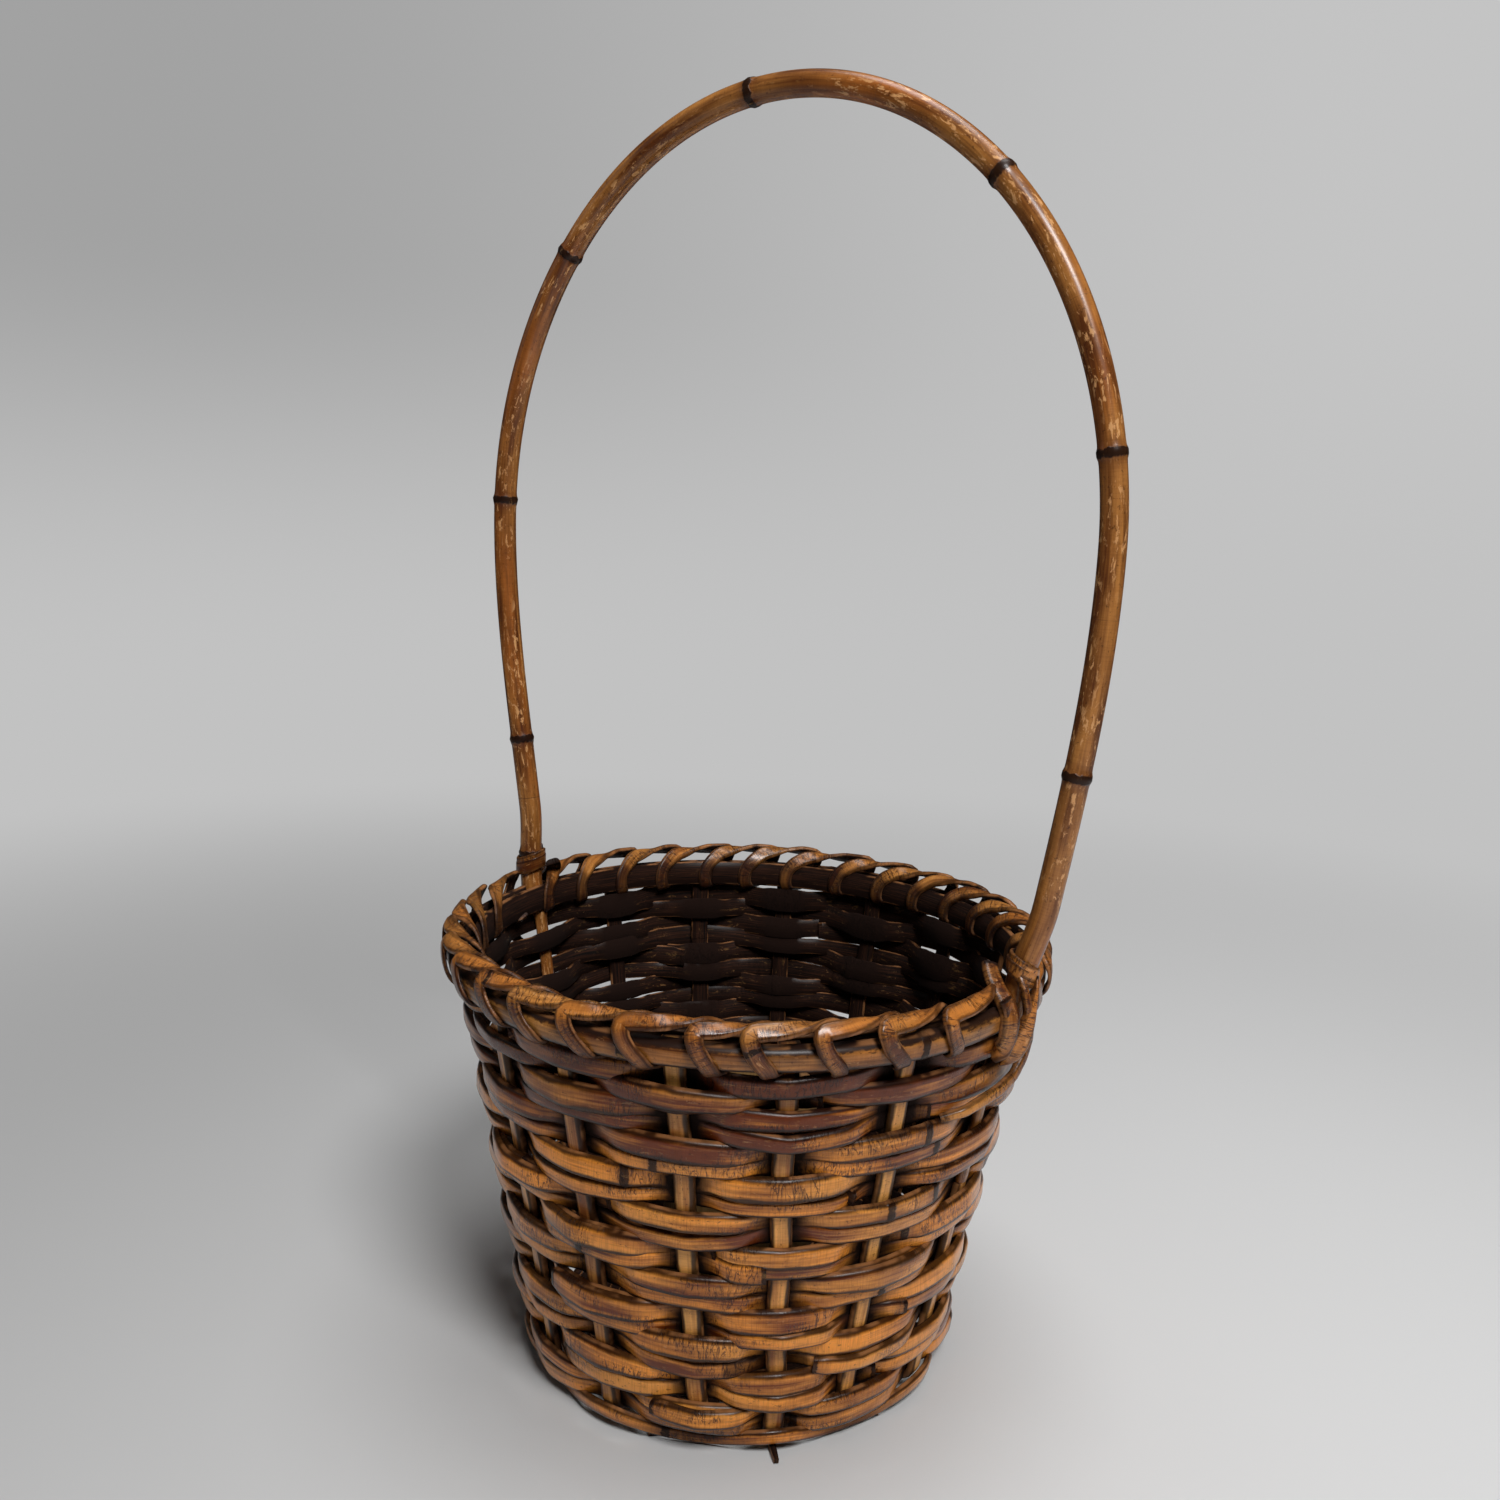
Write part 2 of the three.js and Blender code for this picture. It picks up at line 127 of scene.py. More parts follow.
def smoothed(values, kernel):
    """Values that each take up some of their neighbours, by the kernel's shares."""
    padded = np.pad(values, len(kernel) // 2, "edge")
    return np.convolve(padded, kernel / kernel.sum(), "valid")


def wall_radius(height):
    return foot_radius + flare * height


def turn_at(place, height):
    """The angle of a stake, or of a place between two stakes, from its number and height."""
    numbers = np.arange(stake_count + 1)
    around = np.mod(place, stake_count)
    low = np.interp(around, numbers, foot_drift + foot_drift[:1])
    high = np.interp(around, numbers, rim_drift + rim_drift[:1])
    drift = np.radians(low + (high - low) * height / stake_top)
    return place * math.tau / stake_count + drift


def route(points, outward, wide=1.0, thick=1.0, tuck=0.0, tilt=0.0):
    """A line that a strip is laid along, with its facing, widths, and how deep it is tucked."""
    steps = np.linalg.norm(np.diff(points, axis=0), axis=1)
    run = np.concatenate([[0], np.cumsum(steps)])
    ahead = np.gradient(points, run, axis=0)
    ahead /= np.linalg.norm(ahead, axis=1)[:, None]
    outward = np.broadcast_to(outward, points.shape)
    out = outward - (outward * ahead).sum(axis=1)[:, None] * ahead
    out /= np.linalg.norm(out, axis=1)[:, None]
    side = np.cross(out, ahead)
    turn = np.broadcast_to(tilt, run.shape)[:, None]
    side, out = side * np.cos(turn) + out * np.sin(turn), out * np.cos(turn) - side * np.sin(turn)
    shape = [np.broadcast_to(value, run.shape) for value in (wide, thick, tuck)]
    return {"run": run, "middle": points, "side": side, "out": out, "shape": shape}


def lay(blank, name, line, tone=0.0, knots=(), swell=0.0, shift=0.0, shade=0.0, split=True):
    """Lays a copy of a straight blank along a route, and marks it for its finish: how far
    across a point is, how far under, how tucked away, and how far from the nearest knot."""
    piece = blank.copy()
    piece.data = blank.data.copy()
    piece.name = piece.data.name = name
    bpy.context.collection.objects.link(piece)
    mesh = piece.data
    straight = np.empty(3 * len(mesh.vertices))
    mesh.vertices.foreach_get("co", straight)
    along, across, up = straight.reshape(-1, 3).T
    stretch = line["run"][-1] / along.max()
    along = along * stretch

    def follow(values):
        return np.interp(along, line["run"], values)

    middle, side, out = (points_at(*(follow(axis) for axis in line[key].T))
                         for key in ("middle", "side", "out"))
    wide, thick, tuck = (follow(values) for values in line["shape"])
    no_knot, knot_reach = 1.0, 0.0016
    to_knot = np.full(along.shape, no_knot)
    for knot in knots:
        nearer = np.abs(along - knot) < np.abs(to_knot)
        to_knot = np.where(nearer, along - knot, to_knot)
    knuckle = 1 + swell * np.exp(-((to_knot / knot_reach) ** 2))
    laid = middle + side * (across * wide * knuckle)[:, None]
    laid += out * (up * thick * knuckle)[:, None]
    mesh.vertices.foreach_set("co", laid.ravel())
    marks = {
        "across": split * across / np.abs(across).max(),
        "under": split * (up < 0.6 * up.min()).astype(float),
        "tuck": tuck,
        "tone": np.full(along.shape, tone),
        "shade": follow(np.broadcast_to(shade, line["run"].shape)),
        "to_knot": to_knot * 1000,
    }
    for label, values in marks.items():
        layer = mesh.attributes.new(label, "FLOAT", "POINT")
        layer.data.foreach_set("value", values.astype(np.float32))
    corners = np.empty(2 * len(mesh.loops))
    mesh.uv_layers["run"].data.foreach_get("uv", corners)
    corners[0::2] = corners[0::2] * stretch + shift
    mesh.uv_layers["run"].data.foreach_set("uv", corners)
    mesh.update()
    return piece


def put_away(blank):
    bpy.data.objects.remove(blank, do_unlink=True)


def colour(red, green, blue):
    """A colour written as it looks on screen, turned into the shader's own scale."""
    scaled = [channel / 255 for channel in (red, green, blue)]
    return (*[c / 12.92 if c <= 0.04045 else ((c + 0.055) / 1.055) ** 2.4 for c in scaled], 1)


def node(tree, kind, links=(), **settings):
    """Adds a shader node, sets it, and joins or sets the inputs that are given."""
    made = tree.nodes.new("ShaderNode" + kind)
    for key, value in settings.items():
        setattr(made, key, value)
    for socket, value in dict(links).items():
        if isinstance(value, bpy.types.NodeSocket):
            tree.links.new(value, made.inputs[socket])
        else:
            made.inputs[socket].default_value = value
    return made


def maths(tree, operation, *values, clamp=False):
    made = node(tree, "Math", enumerate(values), operation=operation, use_clamp=clamp)
    return made.outputs[0]


def times(tree, value, *factors):
    for factor in factors:
        value = maths(tree, "MULTIPLY", value, factor)
    return value


def plus(tree, base, value, share=1.0, clamp=False):
    """The base with a share of another value added."""
    return maths(tree, "MULTIPLY_ADD", value, share, base, clamp=clamp)


def between(tree, value, low, high):
    """0 at low, 1 at high, with a soft start and end."""
    links = {"Value": value, "From Min": low, "From Max": high}
    return node(tree, "MapRange", links, interpolation_type="SMOOTHSTEP").outputs[0]


def blend(tree, share, first, second):
    return node(tree, "Mix", {0: share, 6: first, 7: second}, data_type="RGBA").outputs[2]


def tinted(tree, skin, tint, *shares):
    """A skin with a tint laid over it, as strongly as the product of the shares."""
    return blend(tree, times(tree, *shares), skin, tint)


def mark_of(tree, label):
    return node(tree, "Attribute", attribute_name=label).outputs["Fac"]


def cloud(tree, along, across, detail=2.0, rough=0.55, swirl=0.0, seed=0.0):
    """Noise on the laid out surface, with so many changes to a millimetre each way. Strips
    with another tone get another part of it."""
    flat = node(tree, "UVMap", uv_map="run").outputs[0]
    stretched = node(tree, "VectorMath", {0: flat, 1: (1000 * along, 1000 * across, 0)},
                     operation="MULTIPLY").outputs[0]
    drift = plus(tree, seed, mark_of(tree, "tone"), 57.0)
    lift = node(tree, "CombineXYZ", {"Z": drift}).outputs[0]
    spot = node(tree, "VectorMath", {0: stretched, 1: lift}, operation="ADD").outputs[0]
    links = {"Vector": spot, "Scale": 1.0, "Detail": detail, "Roughness": rough,
             "Distortion": swirl}
    return node(tree, "TexNoise", links).outputs[0]


def new_group(name, colours, numbers, outputs):
    """An empty shader group with named inputs, and outputs of which the first is a colour."""
    tree = bpy.data.node_groups.new(name, "ShaderNodeTree")
    for label in colours + numbers:
        kind = "NodeSocketColor" if label in colours else "NodeSocketFloat"
        tree.interface.new_socket(label, in_out="INPUT", socket_type=kind)
    for label in outputs:
        kind = "NodeSocketColor" if label == outputs[0] else "NodeSocketFloat"
        tree.interface.new_socket(label, in_out="OUTPUT", socket_type=kind)
    return tree, tree.nodes.new("NodeGroupInput").outputs


def give_out(tree, *values):
    """Joins the values to the group's outputs, in their order."""
    way_out = tree.nodes.new("NodeGroupOutput")
    for value, socket in zip(values, way_out.inputs):
        tree.links.new(value, socket)


# Long fibres, slow changes of tone, fine cross ribs and small dark pores
yellow_patch, rib_brown, pore_brown = colour(204, 152, 82), colour(84, 36, 12), colour(58, 26, 12)
grain, given = new_group("cane grain", ["Pale", "Deep"], ["Ribs"], ["Colour", "Height"])
fibres = cloud(grain, 0.022, 0.85, detail=4, rough=0.6)
patches = cloud(grain, 0.03, 0.16, seed=3.1)
ribs = cloud(grain, 2.0, 0.14, detail=1, swirl=0.15, seed=7.7)
pores = between(grain, cloud(grain, 0.55, 0.8, detail=4, rough=0.65, seed=12.4), 0.61, 0.67)
yellower = between(grain, cloud(grain, 0.012, 0.05, seed=5.3), 0.42, 0.62)
light_share = plus(grain, -1.6, patches, 2.5)
light_share = plus(grain, light_share, fibres, 1.7)
light_share = plus(grain, light_share, mark_of(grain, "shade"))
light_share = plus(grain, light_share, mark_of(grain, "tone"), clamp=True)
pale_skin = tinted(grain, given["Pale"], yellow_patch, yellower, 0.35)
skin = blend(grain, light_share, given["Deep"], pale_skin)
skin = tinted(grain, skin, rib_brown, between(grain, ribs, 0.56, 0.36), given["Ribs"], 0.45)
skin = tinted(grain, skin, pore_brown, pores, 0.6)
relief = times(grain, ribs, given["Ribs"], 0.16)
give_out(grain, skin, plus(grain, relief, fibres, 0.10))

# Skin that cracked crosswise where the strip was bent, with a dark line in each crack
crackle, given = new_group("cracked skin", ["Colour"], ["Amount"], ["Colour", "Height"])
where = plus(crackle, cloud(crackle, 0.028, 0.06, seed=21.0), given["Amount"])
lines = cloud(crackle, 0.62, 0.13, detail=3, swirl=0.7, seed=33.0)
lines = maths(crackle, "ABSOLUTE", plus(crackle, -0.5, lines))
lines = times(crackle, between(crackle, lines, 0.035, 0.008), between(crackle, where, 1.0, 1.08))
give_out(crackle, tinted(crackle, given["Colour"], colour(52, 18, 10), lines, 0.8),
         times(crackle, lines, -0.22))

# A knot of the stem: a nearly black ring with ragged edges and a brown scorch to both sides
knot_black, scorch_brown = colour(26, 14, 10), colour(84, 40, 18)
knot_ring, given = new_group("knot", ["Colour"], ["Width"], ["Colour", "Height", "Dull"])
ragged = plus(knot_ring, -1.2, cloud(knot_ring, 0.3, 0.5, seed=41.0), 2.4)
off_knot = plus(knot_ring, ragged, maths(knot_ring, "ABSOLUTE", mark_of(knot_ring, "to_knot")))
off_knot = maths(knot_ring, "DIVIDE", off_knot, given["Width"])
black = between(knot_ring, off_knot, 1.15, 0.75)
scorched = between(knot_ring, off_knot, 4.5, 0.6)
skin = tinted(knot_ring, given["Colour"], scorch_brown, scorched, 0.5)
give_out(knot_ring, tinted(knot_ring, skin, knot_black, black, 0.92),
         times(knot_ring, black, 0.25), times(knot_ring, black, 0.7))

# Age: rough split wood on the underside, painted nearly black, partly as a dark stain and partly
# as painted shade inside the basket; dark stains, rubbed patches and pale flecks on the crown;
# painted shade along each edge, stronger on the lower edge, and a worn pale line along it; and
# painted shade with some grime where a strip is tucked
# The split side is painted nearly black, partly as a dark stain and partly as painted shade for the
# inside of the basket
split_stain_and_shade_dark, split_stain_and_shade_pale = colour(12, 7, 6), colour(56, 31, 19)
stain_brown, rubbed_pale, fleck_pale = colour(46, 24, 16), colour(222, 164, 96), colour(206, 152, 98)
edge_shade_dark, soot_dark, edge_pale = colour(28, 12, 6), colour(40, 24, 18), colour(206, 140, 88)
shade_and_grime_dark = colour(30, 17, 12)
age_and_shade, given = new_group("age_and_shade", ["Colour"],
                       ["Grime", "Stains", "Wear", "Shine", "Soot", "Flecks", "Edges"],
                       ["Colour", "Roughness", "Gloss"])
under, across = mark_of(age_and_shade, "under"), mark_of(age_and_shade, "across")
off_middle = maths(age_and_shade, "ABSOLUTE", across)
split_streaks = between(age_and_shade, cloud(age_and_shade, 0.05, 2.6, detail=4, seed=55.0), 0.35, 0.68)
aged_and_shaded = tinted(age_and_shade, given["Colour"], blend(age_and_shade, split_streaks, split_stain_and_shade_dark, split_stain_and_shade_pale), under)
stains = between(age_and_shade, cloud(age_and_shade, 0.06, 0.16, detail=4, seed=61.0),
                 plus(age_and_shade, 0.86, given["Stains"], -0.34), 0.9)
aged_and_shaded = tinted(age_and_shade, aged_and_shaded, stain_brown, stains, 0.75)
rubbed = between(age_and_shade, cloud(age_and_shade, 0.16, 0.5, detail=4, rough=0.7, seed=73.0), 0.58, 0.72)
rubbed = times(age_and_shade, rubbed, given["Wear"])
aged_and_shaded = tinted(age_and_shade, aged_and_shaded, rubbed_pale, rubbed, 0.55)
flecks = cloud(age_and_shade, 0.16, 0.5, detail=5, rough=0.72, swirl=0.6, seed=77.0)
flecks = between(age_and_shade, plus(age_and_shade, flecks, given["Flecks"], 0.1), 0.65, 0.70)
fleck_area = between(age_and_shade, cloud(age_and_shade, 0.02, 0.07, seed=79.0), 0.38, 0.54)
clear_of_knot = between(age_and_shade, maths(age_and_shade, "ABSOLUTE", mark_of(age_and_shade, "to_knot")), 1.6, 3.0)
aged_and_shaded = tinted(age_and_shade, aged_and_shaded, fleck_pale, flecks, fleck_area, given["Flecks"], clear_of_knot)
# Painted shade along both edges of a strip, stronger along the lower edge, as if lit from above
edge_shade = plus(age_and_shade, off_middle, cloud(age_and_shade, 0.08, 0.3, seed=87.0), 0.5)
edge_shade = between(age_and_shade, plus(age_and_shade, edge_shade, across, -0.16), 0.70, 0.97)
aged_and_shaded = tinted(age_and_shade, aged_and_shaded, edge_shade_dark, edge_shade, given["Edges"])
sooty = plus(age_and_shade, off_middle, cloud(age_and_shade, 0.3, 0.7, detail=5, rough=0.65, seed=88.0), 1.3)
sooty = times(age_and_shade, between(age_and_shade, sooty, 1.22, 1.42), given["Soot"])
aged_and_shaded = tinted(age_and_shade, aged_and_shaded, soot_dark, sooty)
worn_edge = times(age_and_shade, between(age_and_shade, off_middle, 0.84, 0.97),
                  between(age_and_shade, cloud(age_and_shade, 0.1, 0.3, seed=81.0), 0.42, 0.60))
aged_and_shaded = tinted(age_and_shade, aged_and_shaded, edge_pale, worn_edge, 0.4)
# Painted shade, with some grime, where a strip is tucked away behind or under others
deep = plus(age_and_shade, plus(age_and_shade, -0.25, mark_of(age_and_shade, "tuck")), cloud(age_and_shade, 0.2, 0.3, seed=93.0), 0.5,
            clamp=True)
deep = times(age_and_shade, deep, given["Grime"])
aged_and_shaded = tinted(age_and_shade, aged_and_shaded, shade_and_grime_dark, deep)
dull = plus(age_and_shade, given["Shine"], deep, 0.5)
dull = plus(age_and_shade, dull, stains, 0.2)
dull = plus(age_and_shade, dull, under, 0.5)
dull = plus(age_and_shade, dull, rubbed, 0.15, clamp=True)
hidden = deep
for mask, share in ((under, 0.85), (sooty, 0.8), (between(age_and_shade, off_middle, 0.5, 0.9), 0.8)):
    hidden = maths(age_and_shade, "MAXIMUM", hidden, times(age_and_shade, mask, share))
give_out(age_and_shade, aged_and_shaded, dull, maths(age_and_shade, "SUBTRACT", 1.0, hidden, clamp=True))

polish_share, polish_roughness, skin_mirror, relief_height = 0.65, 0.27, 0.14, 0.001


def cane_finish(name, pale, deep, ribs=0.6, cracks=0.4, knot_width=1.5, shade_and_grime=0.9, stains=0.5,
                wear=0.3, roughness=0.36, soot=0.0, flecks=0.0, edges=0.92):
    """One cane finish: grain, cracks, knots and age one after the other, under a thin polish."""
    finish = bpy.data.materials.new(name)
    finish.use_nodes = True
    tree = finish.node_tree
    shader = tree.nodes["Principled BSDF"]

    def layer(group, **links):
        return node(tree, "Group", links, node_tree=group).outputs

    skin = layer(grain, Pale=pale, Deep=deep, Ribs=ribs)
    cracked = layer(crackle, Colour=skin["Colour"], Amount=cracks)
    knotted = layer(knot_ring, Colour=cracked["Colour"], Width=knot_width)
    aged_and_shaded = layer(age_and_shade, Colour=knotted["Colour"], Grime=shade_and_grime, Stains=stains, Wear=wear,
                 Shine=roughness, Soot=soot, Flecks=flecks, Edges=edges)
    height = plus(tree, skin["Height"], plus(tree, cracked["Height"], knotted["Height"]))
    bump = node(tree, "Bump", {"Height": height, "Distance": relief_height, "Strength": 1.0})
    gloss = maths(tree, "SUBTRACT", aged_and_shaded["Gloss"], knotted["Dull"], clamp=True)
    tree.links.new(aged_and_shaded["Colour"], shader.inputs["Base Color"])
    tree.links.new(aged_and_shaded["Roughness"], shader.inputs["Roughness"])
    tree.links.new(bump.outputs[0], shader.inputs["Normal"])
    tree.links.new(times(tree, gloss, polish_share), shader.inputs["Coat Weight"])
    shader.inputs["Specular IOR Level"].default_value = skin_mirror
    shader.inputs["Coat Roughness"].default_value = polish_roughness
    return finish


def finished(piece, finish, slot, *nodes, body="root"):
    """Gives a piece its finish, its body and the nodes that it stands for; the slot is not used."""
    piece.data.materials.clear()
    piece.data.materials.append(finish)
    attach(piece, body)
    if nodes:
        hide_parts(*nodes)


stake_finish = cane_finish("stake cane", colour(234, 164, 84), colour(140, 78, 32), ribs=0.3,
                           cracks=0.15, stains=0.55, wear=0.35, roughness=0.42)
stake_blank = split_cane("stake_blank", length=0.26, width=stake_width, thickness=stake_thickness,
                         round_over=0.0017, edge_break=0.0004, cuts=(15, 7))
bend_start = wall_radius(spoke_height) - bend_radius
turn = np.linspace(0.03, 1, 20) * (math.pi / 2 - math.atan(flare))
knee = points_at(bend_start + bend_radius * np.sin(turn),
                 spoke_height + bend_radius * (1 - np.cos(turn)))
knee[:, 0] += np.linspace(0, wall_radius(knee[-1, 1]) - knee[-1, 0], len(knee))
spoke = points_at(np.linspace(spoke_inner, bend_start, 60), spoke_height)
for k in range(stake_count):
    top = tongue_bottom - tongue_gap if k % 8 == 0 else stake_top
    heights = np.linspace(knee[-1, 1] + 0.001, top, 150)
    side_view = np.concatenate([spoke, knee, points_at(wall_radius(heights), heights)])
    out, up = side_view.T
    wander = [chance.uniform(-1, 1) for _ in range(4)]
    up_share = math.pi * np.clip((up - 0.012) / 0.15, 0, 1)
    sway = stake_sway * (wander[0] * np.sin(up_share) + 0.6 * wander[1] * np.sin(2 * up_share)
                         + 0.5 * wander[2] * np.sin(5 * up_share))
    angle = turn_at(k, up) + sway / out
    climb_out, climb_up = np.gradient(side_view, axis=0).T
    pared = pared_share + (1 - pared_share) * np.clip((out - spoke_inner) / pared_reach, 0, 1)
    lies_flat = up < flat_below
    wide = np.where(lies_flat, pared, 1) * (1 + 0.05 * wander[3])
    thick = smoothed(np.where(lies_flat, spoke_thick, 1), np.ones(13))
    # Near the foot a stake is painted darker
    line = route(ring(angle, out, up), ring(angle, climb_up, -climb_out), wide=wide,
                 thick=thick, tuck=0.25 * (up < dark_below))
    knots = [chance.uniform(0.09, 0.24)] if k % 3 == 0 else []
    stake = lay(stake_blank, f"cane_stake_{k + 1:02}", line, tone=chance.uniform(-0.2, 0.25),
                knots=knots, swell=0.08, shift=k * 0.31)
    finished(stake, stake_finish, "stake_cane", f"stake_{k + 1:02}")
put_away(stake_blank)


# Heart of the base. Two fine strands of cane, worked close round the pared ends of the spokes,
# one over and the other under each spoke, lock the sixteen of them together.
heart_inner, heart_radius, heart_height = 0.0065, 0.0352, 0.0053
strand_pitch, strand_dip = 0.0058, 0.0011
facing_down = np.array([0, 0, -1.0])
base_finish = cane_finish("base cane", colour(150, 100, 58), colour(92, 54, 30), ribs=0.3,
                          cracks=0.1, shade_and_grime=0.6, stains=0.7, wear=0.15, roughness=0.5)
strand_blank = split_cane("strand_blank", length=0.6, width=0.0031, thickness=0.0019,
                          round_over=0.0007, edge_break=0.0003, cuts=(24, 24))
rounds = (heart_radius - heart_inner) / strand_pitch
for strand in range(2):
    turns = np.linspace(0, rounds * math.tau, 1500)
    radius = heart_inner + strand_pitch * (turns / math.tau + 0.5 * strand) / (1 + 0.5 / rounds)
    over = np.cos(turns * stake_count / 2 + math.pi * strand)
    line = route(ring(turns, radius, heart_height + strand_dip * over), facing_down, thick=0.75,
                 tuck=0.35)
    worked = lay(strand_blank, f"heart_strand_{strand + 1}", line, tone=0.1 * strand, shift=strand)
    finished(worked, base_finish, "base_cane", "base_heart")
put_away(strand_blank)


# Rounds of the base. Flat strips laid side by side, three to each round, go over one spoke and
# under the next until they meet the wall.
base_inner, base_step, strip_spacing, strip_dip = 0.0373, 0.01358, 0.0042, 0.0022
# One round in places from spoke to spoke, less a hair between its two ends
full_round = 15.99
strip_blank = split_cane("base_blank", length=0.4, width=0.0039, thickness=0.0014,
                         round_over=0.0005, edge_break=0.0003, cuts=(19, 15))
for round_number in range(3):
    for strip in range(3):
        radius = base_inner + round_number * base_step + (strip + 0.5) * strip_spacing
        places = round_number * 3 + strip * 5 + 0.5 + np.linspace(0, full_round, 900)
        turns = turn_at(places, 0)
        over = np.tanh(1.8 * np.cos((places - round_number) * math.pi)) / math.tanh(1.8)
        points = ring(turns, radius + 0.0004 * np.sin(3 * turns + strip),
                      spoke_height + strip_dip * over)
        laid = lay(strip_blank, f"base_strip_{round_number + 1}_{strip + 1}",
                   route(points, facing_down, tuck=0.15), tone=chance.uniform(-0.2, 0.2),
                   shift=radius * 40)
        finished(laid, base_finish, "base_cane", f"base_round_{round_number + 1}")
put_away(strip_blank)


# Weavers. Half round cane split from one stem, skin outwards, woven in pairs that pass outside
# one stake and inside the next. Wet strips lie unevenly over the stakes and pull thin where they
# dip behind, the upper of a pair laps over the lower, and new lengths start with a blunt end.
first_row, row_pitch, row_count, paired_rows = 0.01045, 0.007, 22, 20
weaver_width, weaver_thickness, weaver_reach, weaver_inset = 0.0084, 0.0028, 0.0033, 0.0003
# The upper of a pair is wider, stands out further and leans over the lower
pair_width, pair_reach, pair_spread = (1.0, 1.10), (0, 0.0011), (-0.0004, 0.0002)
plain_tilt, upper_tilt = math.radians(2), math.radians(-9)
# A strip starts just before a stake that it passes outside, and runs on past its own start
start_before, run_on, spliced_run = 0.45, 17.3, 17.2
splice_places, splice_ease, splice_lift = 2.0, 0.6, 0.0024
# Its ends are cut a little narrower over a short way
end_share, end_places = 0.75, 0.12
# It narrows on its way in, is pressed wide again where it lies behind a stake, and is painted
# darker there, as painted shade with some grime
narrow_share, press_from, press_width, dark_from, dark_over = 0.05, 0.7, 0.2, 0.2, 0.6
# Where a blunt end can be seen from the front, by row, in places counted from stake to stake
starts_at = {1: 12.55, 4: 14.43, 7: 11.5, 14: 14.63, 19: 3.4}
stops_at = {3: 8.4, 6: 15.45, 10: 13.82, 12: 5.6, 17: 7.4}
knots_seen = {0: (14.3,), 2: (11.4,), 5: (12.16,), 8: (15.1,), 10: (11.97,), 11: (15.31,),
              13: (11.25, 15.03, 15.48), 15: (12.5,), 16: (12.78, 15.38), 17: (15.25,),
              20: (12.61,)}
front_from, front_to = 10.6, 15.9
# One strip has lost its skin between two stakes and gone dark
bare_row, bare_from, bare_to, bare_grime = 4, 13.35, 14.43, 0.7
# The rows near the rim are painted darker, partly as a darker tone of the cane and partly as
# painted shadow of the rim above them
first_dark_row, plain_tone, dark_tone, rim_shade = 15, 0.11, -0.6, 0.2
# How uneven a strip is from stake to stake
sag_drift, lower_drift, upper_drift, reach_drift = 0.0009, 0.0017, 0.0010, 0.0003
width_drift, tilt_drift, shade_drift = 0.22, math.radians(6), 0.46
# A pass outside a stake is longer than the dip behind the next
wave_slope, wave_shift, round_share = 2.1, 0.58, 0.36
wave_high = math.tanh(wave_slope * (1 + wave_shift))
wave_middle = (wave_high + math.tanh(wave_slope * (wave_shift - 1))) / 2
wave_half = wave_high - wave_middle
weaver_finish = cane_finish("weaver cane", colour(240, 150, 56), colour(104, 44, 10), ribs=0.45,
                            cracks=0.49, knot_width=1.7, shade_and_grime=1.0, stains=0.8, wear=0.35,
                            roughness=0.29, flecks=0.35)


def uneven(places, source, size):
    """A small unevenness that changes from stake to stake, with a soft kink at each."""
    stops = np.arange(math.floor(places[0]) - 1, places[-1] + 2)
    values = np.interp(places, stops, [source.uniform(-size, size) for _ in stops])
    return smoothed(values, np.hanning(25))


